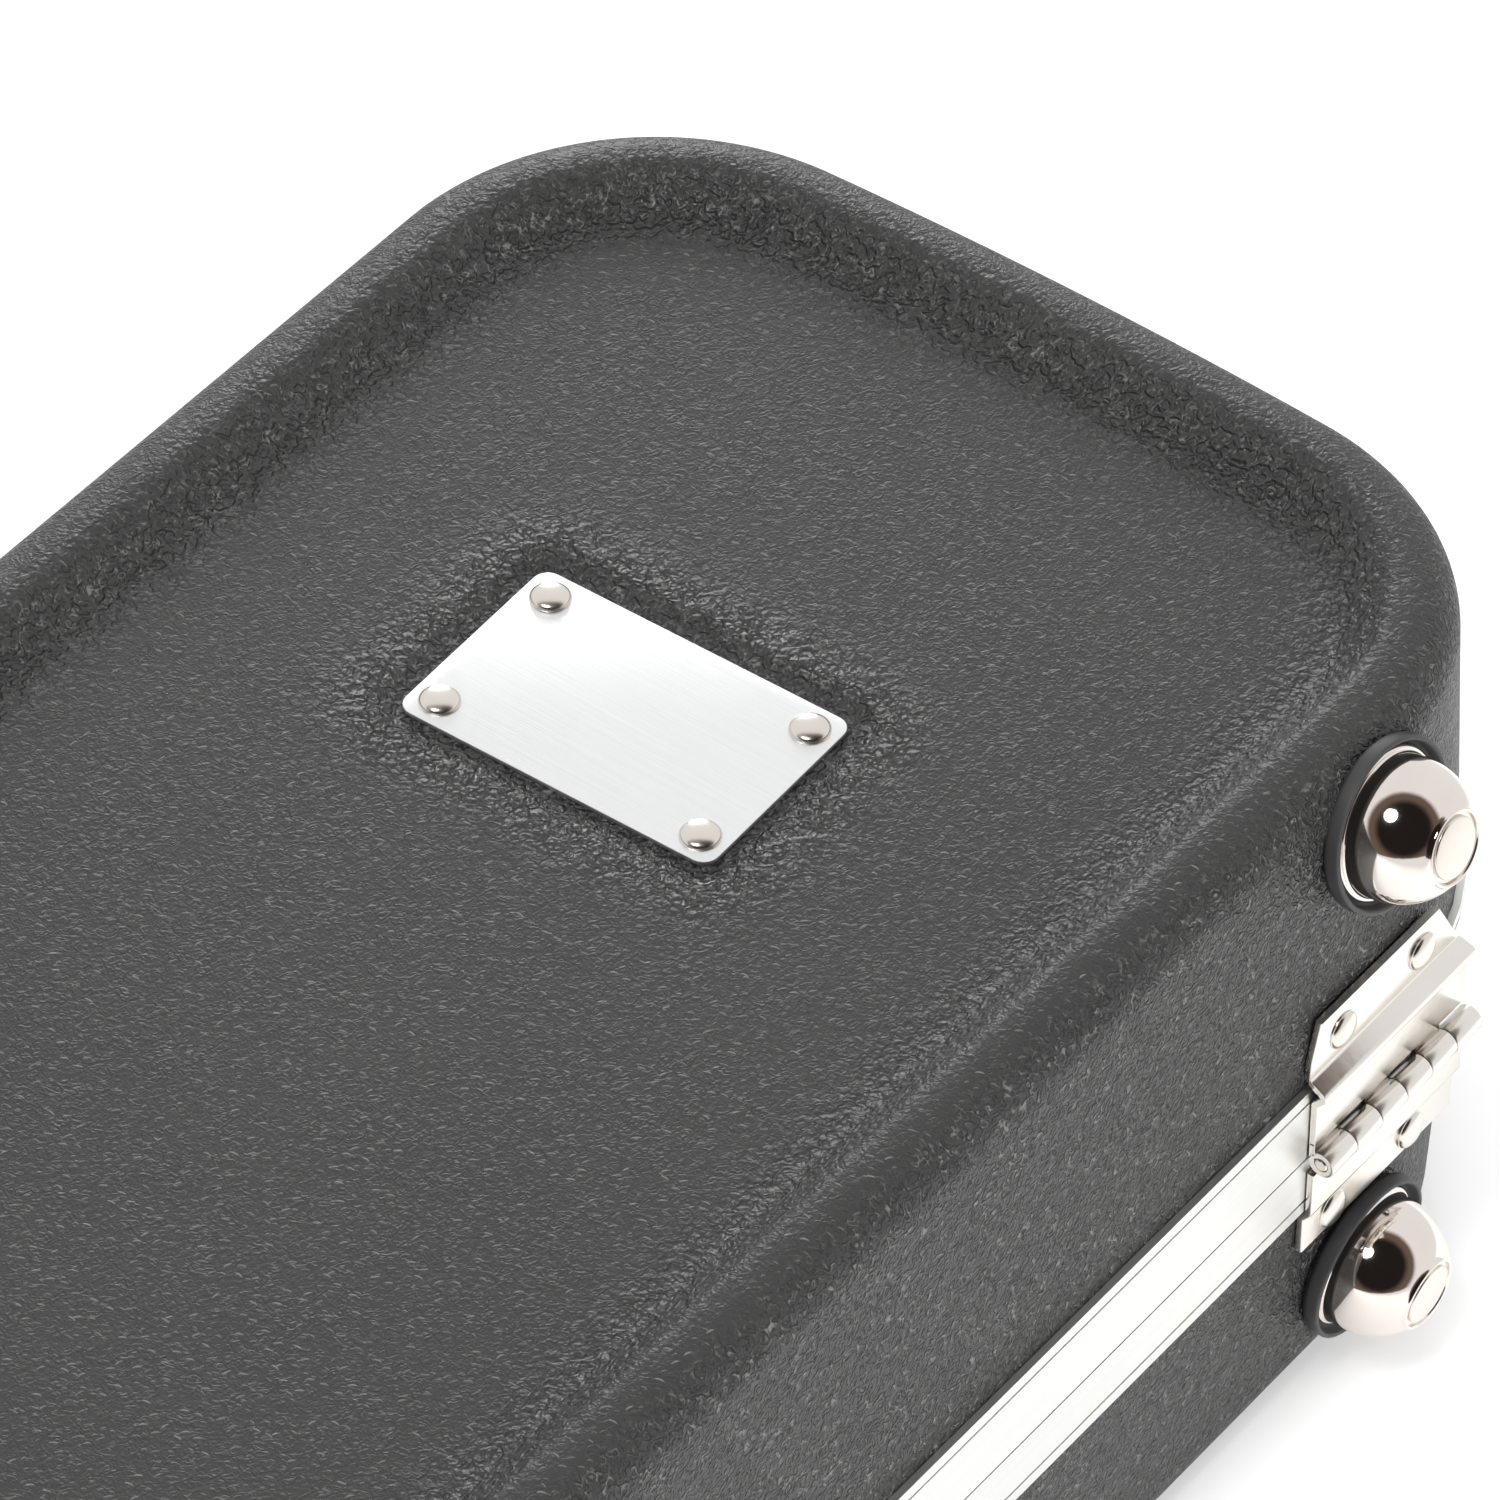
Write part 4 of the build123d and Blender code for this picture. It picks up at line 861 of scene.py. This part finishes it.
foot_pieces = (
    ("domes", dome_shape(), "chrome_plate", chrome, "feet"),
    ("rubber_cups", cup_shape(), "foot_rubber", cup_rubber(), "foot_cups"),
    ("dome_rivets", foot_rivet_shape(), "nickel_steel", rivet_nickel, "foot_rivets"),
)
for half in halves:
    for name, shape, slot, finish, node in foot_pieces:
        moved = [carried(shape, place) for place in foot_places(half)]
        put_piece(f"{half}_{name}", moved, half, finish, [f"{half}_{node}"], 50)

# Draw latches: four over-centre catches of nickel-plated steel. A plate is riveted over the base frame's
# edge and carries the lever on two pins; a bent wire bail in the lever's arms hooks over the keeper on the
# lid. The third lever holds a round key lock.
latch_half = 16 * mm
latch_corner = 2 * mm
plate_reach = 38 * mm
ear_inner = 11.1 * mm
ear_radius = 3.6 * mm
lever_pivot = np.array([6.2, -16.0]) * mm
bail_pivot = np.array([4.6, -23.0]) * mm
bail_bar = np.array([3.0, 9.0]) * mm
bail_radius = 1.25 * mm
bail_leg = 8.2 * mm
bail_tip = 11.2 * mm
bail_bend = 1.3 * mm
arm_inner = 9.6 * mm
web_place = 9.2 * mm
web_top = -24 * mm
web_bottom = -37 * mm
keeper_reach = 28 * mm
hook_half = 6 * mm
hook_lip = 6.2 * mm
hook_floor = 6.7 * mm
hook_top = 10.6 * mm
hook_sheet = 1.1 * mm
pivot_radius = 1.25 * mm
pivot_end = 12.8 * mm
pin_crown = 0.25 * mm


def on_latch_side(shapes, middle, face):
    """Shapes in their own (along, outwards, up), turned half round and set on the latch side."""
    origin = np.array([middle, face, parting])
    return [(points * np.array([-1, -1, 1]) + origin, faces) for points, faces in shapes]


def sheet_strip(corners, bend, half, corner, thickness=leaf_sheet):
    """Bent strip along these corners, as wide as twice half. The corners of its first end are rounded by
    extra rows: at a distance d from the end, each is drawn in by corner - sqrt(corner^2 - (corner - d)^2)."""
    path, normals = rounded_path(corners, [bend] * (len(corners) - 2))
    share = 1 - np.cos(np.linspace(0, math.pi / 2, 6))
    along = (path[1] - path[0]) / np.linalg.norm(path[1] - path[0])
    path = np.vstack([path[0] + corner * share[:, None] * along, path[1:]])
    normals = np.vstack([np.repeat(normals[:1], 6, axis=0), normals[1:]])
    drawn_in = np.pad(corner * (1 - np.sqrt(1 - (1 - share) ** 2)), (0, len(path) - 6))
    return bent_sheet(path, normals, thickness, drawn_in - half, half - drawn_in)


def shrunk(outline, step):
    """An outline with each point moved towards its middle by one step."""
    ray = outline - outline.mean(axis=0)
    return outline - step * ray / np.linalg.norm(ray, axis=1)[:, None]


def stamped(outline, low, high, edge=0.18 * mm):
    """Flat part whose outline lies in (outwards, up), from low to high along the case, its edges softened by
    drawing both end rings in towards the middle."""
    inner = shrunk(outline, edge)
    levels = ((low, inner), (low + edge, outline), (high - edge, outline), (high, inner))
    return stacked([lifted(ring, x)[:, [2, 0, 1]] for x, ring in levels])


def wire_loop(tip, half, bend, radius, origin, end, sides=16):
    """Round wire bent in one slanted plane: its tips turned outwards as pivots at the origin, two legs, and
    a bar at the far end. Each section is a circle across the path."""
    drop = np.linalg.norm(end - origin)
    reach = (end - origin) / drop
    corners = [(-tip, 0), (-half, 0), (-half, drop), (half, drop), (half, 0), (tip, 0)]
    path, normals = rounded_path(corners, [bend] * 4, 8)
    c, s = radius * rays(np.linspace(0, 2 * math.pi, sides, endpoint=False)).T
    x = path[:, :1] + c * normals[:, :1]
    along = path[:, 1:] + c * normals[:, 1:]
    return stacked(np.stack([
        x, origin[0] + along * reach[0] - s * reach[1], origin[1] + along * reach[1] + s * reach[0],
    ], axis=-1))


def side_pin(place, low, high, radius, domed):
    """Pin along the case at an (outwards, up) place, its outer end slightly domed."""
    span = high - low
    profile = [(0, 0), (radius, 0), (radius, span - pin_crown), (radius * 0.8, span), (0, span)]
    lying = placement((low if domed > 0 else high, *place), (domed, 0, 0), (0, 0, 1))
    return carried(turned(profile, 24), lying)


def round_nose(centre, radius, count):
    """Half circle that faces outwards from the case, from its lowest to its highest point."""
    return centre + radius * rays(np.linspace(-math.pi / 2, math.pi / 2, count))


def latch_plate_shapes():
    """Base plate with its joggle up over the frame, and two ears with round ends."""
    drop = -base_frame_height
    corners = [(tab_place, -plate_reach), (tab_place, drop - 2.6 * mm), (flat_place, drop - 0.6 * mm)]
    tip = round_nose(lever_pivot, ear_radius, 15)
    ear = np.vstack([tip, [(tab_place, tip[-1, 1] + 0.8 * mm), (tab_place, tip[0, 1] - 0.8 * mm)]])
    spans = ((ear_inner, ear_inner + leaf_sheet), (-ear_inner - leaf_sheet, -ear_inner))
    strip = sheet_strip(corners + [(flat_place, -1.5 * mm)], 1.3 * mm, latch_half, latch_corner)
    return [strip] + [stamped(ear, *span) for span in spans]


def lever_shapes():
    """Lever: two stamped arms joined by the web, which ends in a rounded thumb lip."""
    u, v = lever_pivot
    b = bail_pivot
    arm = np.array([
        (u - 2.6 * mm, v + 2.2 * mm), (u + 1.6 * mm, v + 2.6 * mm), (u + 3.6 * mm, v - 1.0 * mm),
        (web_place + leaf_sheet / 2, web_bottom), (web_place - 4.2 * mm, web_bottom + 4 * mm),
        (b[0] - 2.4 * mm, b[1] - 2.6 * mm), (b[0] - 2.6 * mm, b[1] + 1.6 * mm),
    ])
    start = (arm[-1:] + arm[:1]) / 2
    outline = rounded_path(np.vstack([start, arm, start]), [1.0 * mm] * len(arm), 5)[0][:-1]
    lip = [(web_place + 1.6 * mm, web_bottom - 2.6 * mm), (web_place, web_bottom - 1.0 * mm)]
    lip += [(web_place, web_top)]
    arm_outer = arm_inner + leaf_sheet
    return [
        stamped(outline, arm_inner, arm_outer), stamped(outline, -arm_outer, -arm_inner),
        sheet_strip(lip, 1.2 * mm, arm_outer, 1.4 * mm),
    ]


def keeper_shapes():
    """Keeper: a tab with rounded corners, its joggle over the frame, and the hook for the bail's bar."""
    rise = lid_frame_height
    back = [(tab_place, keeper_reach), (tab_place, rise + 3.4 * mm), (flat_place, rise + 1.2 * mm)]
    hook = [(hook_lip, hook_top), (hook_lip, hook_floor), (flat_place, hook_floor)]
    return [
        sheet_strip(back + [(flat_place, hook_floor)], 1.3 * mm, latch_half, latch_corner),
        sheet_strip(hook + [(flat_place, hook_floor + 2 * mm)], 1.0 * mm, hook_half, 1.6 * mm, hook_sheet),
    ]


latch_kinds = {
    "plate": latch_plate_shapes(), "lever": lever_shapes(),
    "bail": [wire_loop(bail_tip, bail_leg, bail_bend, bail_radius, bail_pivot, bail_bar)],
    "keeper": keeper_shapes(),
}
lever_pins, plate_heads, keeper_heads = [], [], []
for number, x in enumerate(latch_middles, 1):
    face = latch_side_face(x)
    for kind, shapes in latch_kinds.items():
        node = f"latch_{kind}_{number}"
        body = body_of(frame["nodes"][node])[0]
        finish = rivet_nickel if kind == "bail" else fitting_nickel
        placed = on_latch_side(shapes, x, face)
        put_piece(f"{kind}_{number}", placed, body, finish, [node], 34)
    for side in (-1, 1):
        low, high = sorted((side * arm_inner, side * pivot_end))
        lever_pins += on_latch_side([side_pin(lever_pivot, low, high, pivot_radius, side)], x, face)
    plate_heads += wall_rivets([(x + side * 5.5 * mm, -33 * mm) for side in (-1, 1)], face, -1)
    keeper_heads += wall_rivets([(x + side * 9.5 * mm, 22.5 * mm) for side in (-1, 1)], face, -1)
for name, shapes, body, node in (
    ("lever_pins", lever_pins, "base", "latch_pivots"),
    ("latch_plate_rivet_heads", plate_heads, "base", "latch_plate_rivets"),
    ("keeper_rivet_heads", keeper_heads, "lid", "latch_keeper_rivets"),
):
    put_piece(name, shapes, body, rivet_nickel, [node])
frame["nodes"]["lock_cylinder"].material_slots[0].material = chrome

# Handle: a plated steel loop that turns in two saddle brackets, with a black moulded grip on its bar. The
# grip swells towards its middle and has a pebbled skin.
handle_middle = middle_x("handle_grip")
handle_pivot = np.array([7.5, -20.0]) * mm
grip_middle = np.array([9.0, -44.0]) * mm
loop_half = 60 * mm
loop_radius = 3 * mm
loop_bend = 5 * mm
grip_half = 46 * mm
grip_section = np.array([7.5, 7]) * mm
grip_corner = 5 * mm
grip_end = 2 * mm
bracket_half = 6 * mm
bracket_offset = 71.5 * mm
bracket_round = 0.6 * mm
saddle_radius = 4.8 * mm
bracket_plate_half = 13 * mm
bracket_plate_low = -32 * mm
bracket_plate_top = -11.9 * mm


def grip_skin():
    """Rounded-rectangle sections along the bar: 4% slimmer at the ends, which close with a quarter round."""
    turn = rays(np.linspace(0, math.pi / 2, 6)) * grip_end
    end = grip_half - grip_end + turn[:, 1]
    x = np.concatenate([-end[::-1], np.linspace(-end[0], end[0], 17)[1:-1], end])
    tuck = np.concatenate([grip_end - turn[::-1, 0], np.zeros(15), grip_end - turn[:, 0]])
    swell = 0.96 + 0.04 * np.cos(x / grip_half * math.pi / 2) ** 2
    rings = []
    for station, inset, share in zip(x, tuck, swell):
        ring = ring_of(*(grip_section * share - inset), grip_corner - inset) + grip_middle
        rings.append(lifted(ring, station)[:, [2, 0, 1]])
    return stacked(rings)


def bracket_shapes(offset):
    """Bracket: a rounded plate on the wall and a saddle that wraps the loop's end."""
    nose = round_nose(handle_pivot, saddle_radius, 19)
    outline = np.vstack([nose, [(tab_place, nose[-1, 1]), (tab_place, nose[0, 1])]])
    flat = ring_of(bracket_plate_half, (bracket_plate_top - bracket_plate_low) / 2, 3 * mm)
    flat = flat + np.array([offset, (bracket_plate_top + bracket_plate_low) / 2])
    levels = ((-shell_inset, 0), (-0.3 * mm, 0), (-0.1 * mm, 0.2 * mm))
    plate = stacked([lifted(shrunk(flat, step), u)[:, [0, 2, 1]] for u, step in levels])
    return [stamped(outline, offset - bracket_half, offset + bracket_half, bracket_round), plate]


def grip_plastic():
    """Black moulded plastic with a small even pebble and a satin gloss where hands have worn it."""
    made = Finish("grip_plastic")
    pebble = wire(made.tree, "TexVoronoi", {"Vector": made.place, "Scale": 0.9}, feature="SMOOTH_F1")[0]
    wear = noise(made.place, 0.06, 3.0)
    colour = blended(wear, (0.018, 0.018, 0.018), (0.034, 0.033, 0.032))
    return made.done(colour, wear * -0.18 + 0.52, pebble * -0.12)


loop_tip = bracket_offset + bracket_half
loop = wire_loop(loop_tip, loop_half, loop_bend, loop_radius, handle_pivot, grip_middle, 28)
loop = on_latch_side([loop], handle_middle, latch_face)
put_piece("handle_wire", loop, "handle", fitting_nickel, ["handle_loop"], 34)
grip = on_latch_side([grip_skin()], handle_middle, latch_face)
put_piece("moulded_grip", grip, "handle", grip_plastic(), ["handle_grip"], 60)
bracket_rivets = []
for node in brackets:
    shapes = on_latch_side(bracket_shapes(handle_middle - middle_x(node)), handle_middle, latch_face)
    put_piece(f"saddle_{node[-1]}", shapes, "base", fitting_nickel, [node], 34)
    spots = [(middle_x(node) + side * 9.2 * mm, -22 * mm) for side in (-1, 1)]
    bracket_rivets += wall_rivets(spots, latch_face, -1)
put_piece("bracket_rivet_heads", bracket_rivets, "base", rivet_nickel, ["handle_rivets"])

# Linings: foam blocks covered in dark grey plush. The base's has bays for body, neck and headstock, the
# lid's is a shallow tray, and both are soft at every edge, so each skin is relaxed from its own solid.
lining_cell = 4 * mm
cradle_cell = 2.5 * mm


def charcoal_plush():
    """Short-pile plush: fine upright fibres, brushed into lighter and darker patches, with a soft sheen."""
    made = Finish("charcoal_plush")
    pile = noise(made.place, 2.4, 3.0, 0.7)
    brushed = ramp(noise(made.place, 0.022, 3.0, 0.6), 0.35, 0.65)
    shade = (brushed * 0.45).math("ADD", pile * 0.7, clamp=True)
    colour = blended(shade, (0.012, 0.012, 0.013), (0.055, 0.054, 0.056))
    height = pile * 0.35 + noise(made.place, 0.35) * 0.5
    return made.done(colour, 0.95, height, Specular_IOR_Level=0.2, Sheen_Weight=0.55, Sheen_Roughness=0.4)


charcoal = charcoal_plush()


def relaxed_skin(name, node, cell, rounds):
    """Skin of a foam block: the solid's surface in even cells, relaxed until its edges are round."""
    mesh = frame["nodes"][node].data.copy()
    merged = bmesh.new()
    merged.from_mesh(mesh)
    bmesh.ops.remove_doubles(merged, verts=merged.verts, dist=2e-6)
    merged.to_mesh(mesh)
    merged.free()
    mesh.materials.clear()
    mesh.materials.append(charcoal)
    piece = add_object(name, mesh)
    cells = piece.modifiers.new("cells", "REMESH")
    cells.voxel_size = cell
    cells.use_smooth_shade = True
    piece.modifiers.new("relax", "SMOOTH").iterations = rounds
    skin = bpy.data.meshes.new_from_object(piece.evaluated_get(bpy.context.evaluated_depsgraph_get()))
    piece.modifiers.clear()
    piece.data = skin
    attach(piece, body_of(frame["nodes"][node])[0])
    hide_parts(node)
    return piece


relaxed_skin("base_lining", "base_liner", lining_cell, 5)
relaxed_skin("lid_lining", "lid_liner", lining_cell, 4)
relaxed_skin("neck_rest", "neck_cradle", cradle_cell, 6)

# Lid pad: a stuffed cushion that holds the guitar's body down. It is crowned, its sides draw in between the
# corners, a piped seam runs round its edge, and four tufts are sewn through it.
pad_corner = 40 * mm
pad_draw = 4 * mm
pad_crown = 6 * mm
pad_gap = 0.2 * mm
pipe_radius = 1.6 * mm
tuft_depth = 5 * mm
tuft_width = 26 * mm
smallest_ring = 0.02


def crowned_pad():
    """Closed cushion from rings of its outline scaled towards the middle. The free face falls off as the
    fourth power of the distance from the middle, and dips at each tuft by a bell of the tuft's width."""
    low, high = box_of("lid_pad")
    middle = (low + high)[:2] / 2
    half = (high - low) / 2
    outline = ring_of(half[0], half[1], pad_corner, 20)
    share = np.abs(outline) / half[:2]
    draw = pad_draw * np.clip(1 - share.min(axis=1) ** 2 * 2.2, 0, 1)
    outline = outline * (1 - draw[:, None] / half[:2])
    edge = half[2] - pad_crown / 2
    turn = rays(np.linspace(-math.pi / 2, math.pi / 2, 13))
    widths = 1 - edge * 0.55 * (1 - turn[:, 0]) / half[1]
    back = high[2] - pad_gap
    scales = np.linspace(smallest_ring, widths[0], 14)[:-1]
    rings = [lifted(outline * scale + middle, back) for scale in scales]
    for width, rise in zip(widths, turn[:, 1]):
        rings.append(lifted(outline * width + middle, back - edge * (rise + 1)))
    for scale in np.linspace(widths[-1], smallest_ring, 26)[1:]:
        ring = outline * scale
        level = back - 2 * edge - (pad_crown - 2 * pad_gap) * (1 - (scale / widths[-1]) ** 4)
        for tuft in np.array([(-1, -1), (-1, 1), (1, -1), (1, 1)]) * half[:2] * 0.42:
            level = level + tuft_depth * np.exp(-(np.linalg.norm(ring - tuft, axis=1) / tuft_width) ** 2)
        rings.append(lifted(ring + middle, level))
    return stacked(rings), outline + middle, back - edge


def piping(loop, height):
    """Round cord sewn round the pad: a circle across the closed outline."""
    along = np.roll(loop, -1, axis=0) - np.roll(loop, 1, axis=0)
    along /= np.linalg.norm(along, axis=1)[:, None]
    across = np.stack([along[:, 1], -along[:, 0]], axis=-1)[:, None]
    c, s = pipe_radius * rays(np.linspace(0, 2 * math.pi, 10, endpoint=False)).T
    flat = loop[:, None] + (c[:, None] - pipe_radius) * across
    points = np.dstack([flat, np.broadcast_to(height + s, flat.shape[:2])])
    return points.reshape(-1, 3), quads(len(loop), 10, wrap_rows=True, wrap_columns=True)


pad_skin, pad_loop, seam_height = crowned_pad()
pad_shapes = [pad_skin, piping(pad_loop, seam_height)]
put_piece("hold_down_pad", pad_shapes, "lid", charcoal, ["lid_pad"], 70)

# Accessory compartment: a plush-covered box beside the neck. Its lid is a stiff board wrapped in the same
# plush, which folds up along its sewn edge and has a leather tab with a stitched border.
cover_low, cover_high = box_of("compartment_cover")
pull_low, pull_high = box_of("compartment_pull")
board_thickness = 3.5 * mm
fold_radius = 0.8 * mm
fold_margin = 3 * mm
tab_corner = 4 * mm
stitch_inset = 1.6 * mm
stitch_pitch = 3.2 * mm
stitch_length = 2.2 * mm
stitch_radius = 0.32 * mm
stitch_sink = 0.25 * mm
frame["nodes"]["compartment_box"].material_slots[0].material = charcoal


def soft_board(low, high, corner, edge):
    """Board with a quarter-round upper edge: rings of its outline drawn in as the height nears the top."""
    half = (high - low)[:2] / 2
    levels = [(low[2], edge * 0.5), (low[2] + edge * 0.5, 0)]
    levels += [(high[2] - edge + edge * s, edge * (1 - c)) for c, s in rays(np.linspace(0, math.pi / 2, 6))]
    middle = (low + high)[:2] / 2
    return stacked([
        lifted(ring_of(*(half - shrink), corner - shrink * 0.9) + middle, height) for height, shrink in levels
    ])


def leather():
    """Dark brown leather: pores, a mottled colour and a slightly polished face."""
    made = Finish("tab_leather")
    pores = wire(made.tree, "TexVoronoi", {"Vector": made.place, "Scale": 1.6})[0]
    mottle = noise(made.place, 0.25, 4.0, 0.6)
    colour = blended(mottle, (0.035, 0.020, 0.012), (0.085, 0.048, 0.028))
    return made.done(colour, mottle * 0.2 + 0.42, pores * 0.08)


def thread():
    """Waxed linen thread, off-white with a faint twist."""
    made = Finish("waxed_thread")
    return made.done(blended(noise(made.place, 3.0, 1.0), (0.30, 0.26, 0.19), (0.48, 0.43, 0.33)), 0.7)


def stitches(low, high):
    """Short raised stitches, each a small spindle, spaced evenly round the tab's border."""
    half = (high - low)[:2] / 2 - stitch_inset
    loop = ring_of(*half, tab_corner - stitch_inset, 10) + (low + high)[:2] / 2
    closed = np.vstack([loop, loop[:1]])
    travel = np.concatenate([[0], np.cumsum(np.hypot(*np.diff(closed, axis=0).T))])
    count = int(travel[-1] / stitch_pitch)
    shapes = []
    for start in np.arange(count) * travel[-1] / count:
        x, y = (np.interp([start, start + stitch_length], travel, closed[:, axis]) for axis in (0, 1))
        run = np.array([x[1] - x[0], y[1] - y[0]])
        reach = np.linalg.norm(run) / 2
        profile = [(stitch_radius * math.sqrt(1 - t * t), t * reach) for t in (-0.99, -0.7, 0, 0.7, 0.99)]
        place = placement((x.mean(), y.mean(), high[2] - stitch_sink), (*run, 0), (0, 0, 1))
        shapes.append(carried(turned(profile, 6), place))
    return shapes


board_top = cover_low[2] + board_thickness
board_high = np.array([cover_high[0], cover_high[1] - fold_radius, board_top])
fold_half = (cover_high[0] - cover_low[0]) / 2 - fold_margin
fold_ring = np.array([(0, -1), (0.9, -1), (1, -0.98), (1, 0.98), (0.9, 1), (0, 1)])
fold_middle = ((cover_low[0] + cover_high[0]) / 2, board_high[1], board_top)
fold = turned(fold_ring * np.array([fold_radius, fold_half]), 12)
cover_shapes = [
    soft_board(cover_low, board_high, 2.5 * mm, 1.2 * mm),
    carried(fold, placement(fold_middle, (1, 0, 0), (0, 0, 1))),
]
put_piece("padded_cover", cover_shapes, "cover", charcoal, ["compartment_cover"], 60)
tab = soft_board(pull_low, pull_high, tab_corner, 0.4 * mm)
put_piece("leather_tab", [tab], "cover", leather(), ["compartment_pull"], 50)
put_piece("tab_stitches", stitches(pull_low, pull_high), "cover", thread(), [], 60)

# Floor: a plain white studio sweep under and behind the case. Close to the case it keeps the shadow, and
# away from it the floor fades to the plain white of the room.
floor_half = 6.0
floor_corners = [(x * floor_half, y * floor_half, 0) for x, y in ((-1, -1), (1, -1), (1, 1), (-1, 1))]
floor_mesh = bpy.data.meshes.new("studio_floor")
floor_mesh.from_pydata(floor_corners, [], [(0, 1, 2, 3)])
studio_floor = add_object("studio_floor", floor_mesh)


def ray_kinds(tree):
    """1 for what the camera sees, directly, mirrored or through glass; and 1 for what is mirrored alone."""
    path = wire(tree, "LightPath")
    direct = path["Is Camera Ray"] + path["Is Glossy Ray"]
    return direct.math("ADD", path["Is Transmission Ray"], clamp=True), path["Is Glossy Ray"]


def sweep_white():
    """White paint with faint unevenness, which turns to plain white from 0.04 to 0.4 m off the case."""
    made = Finish("sweep_white", 1.0)
    patch = noise(made.place, 1.5)
    axes = wire(made.tree, "SeparateXYZ", {0: made.place})
    beside = axes[0].math("ABSOLUTE") - body_end
    before = axes[1].math("ABSOLUTE") - hinge_face
    share = ramp(beside.math("MAXIMUM", before), 0.04, 0.4) * ray_kinds(made.tree)[0]
    glow = wire(made.tree, "Emission", {"Color": (1, 1, 1, 1), "Strength": 1.0})[0]
    paint = Value(made.tree, made.shader.outputs[0])
    mixed = wire(made.tree, "MixShader", {0: share, 1: paint, 2: glow})[0]
    output = next(node for node in made.tree.nodes if node.type == "OUTPUT_MATERIAL")
    join(made.tree, mixed, output.inputs[0])
    return made.done(blended(patch, (0.93, 0.93, 0.93), (0.95, 0.95, 0.95)), 0.9)


floor_mesh.materials.append(sweep_white())

# Light: a white room that is dark brown behind the camera, as plating mirrors it; a broad lamp overhead,
# one behind the case that rakes over the grain, one high in front, and a low one on the hinge side.
world = bpy.data.worlds.new("studio")
world.use_nodes = True
bpy.context.scene.world = world
sky = world.node_tree
sky.nodes.clear()
seen, mirrored = ray_kinds(sky)
ambient = 0.7
heading = {0: wire(sky, "TexCoord")["Generated"], 1: (eye - look_at).normalized()}
towards = wire(sky, "VectorMath", heading, operation="DOT_PRODUCT")["Value"]


def zone(outer, inner):
    """Share of the dark zone about the camera's direction, for reflections only; angles in degrees."""
    return ramp(towards, math.cos(math.radians(outer)), math.cos(math.radians(inner))) * mirrored


room = blended(zone(62, 53), (1, 1, 1), (0.16, 0.115, 0.09))
room = blended(zone(49, 37), room, (0.016, 0.013, 0.012))
backdrop = wire(sky, "Background", {"Color": room, "Strength": seen * (1.0 - ambient) + ambient})[0]
wire(sky, "OutputWorld", {0: backdrop})
neck = (-0.45, 0.1, 0.12)
for name, place, target, size, watts, glossy in (
    ("overhead", (0.0, 0.0, 2.4), (0, 0, 0), 1.8, 16, False),
    ("behind", (-2.6, -1.7, 0.75), neck, 0.9, 20, True),
    ("front_top", (0.67, 0.1, 2.2), neck, 0.8, 24, True),
    ("hinge_side", (0.4, 2.6, 0.9), (-0.4, 0.15, 0.08), 1.4, 100, False),
):
    light = bpy.data.lights.new(name, "AREA")
    light.shape = "DISK"
    light.size = size
    light.energy = watts
    lamp = add_object(name, light)
    lamp.location = place
    lamp.rotation_euler = (Vector(target) - Vector(place)).to_track_quat("-Z", "Y").to_euler()
    lamp.visible_glossy = glossy

bpy.context.scene.view_settings.view_transform = "Standard"
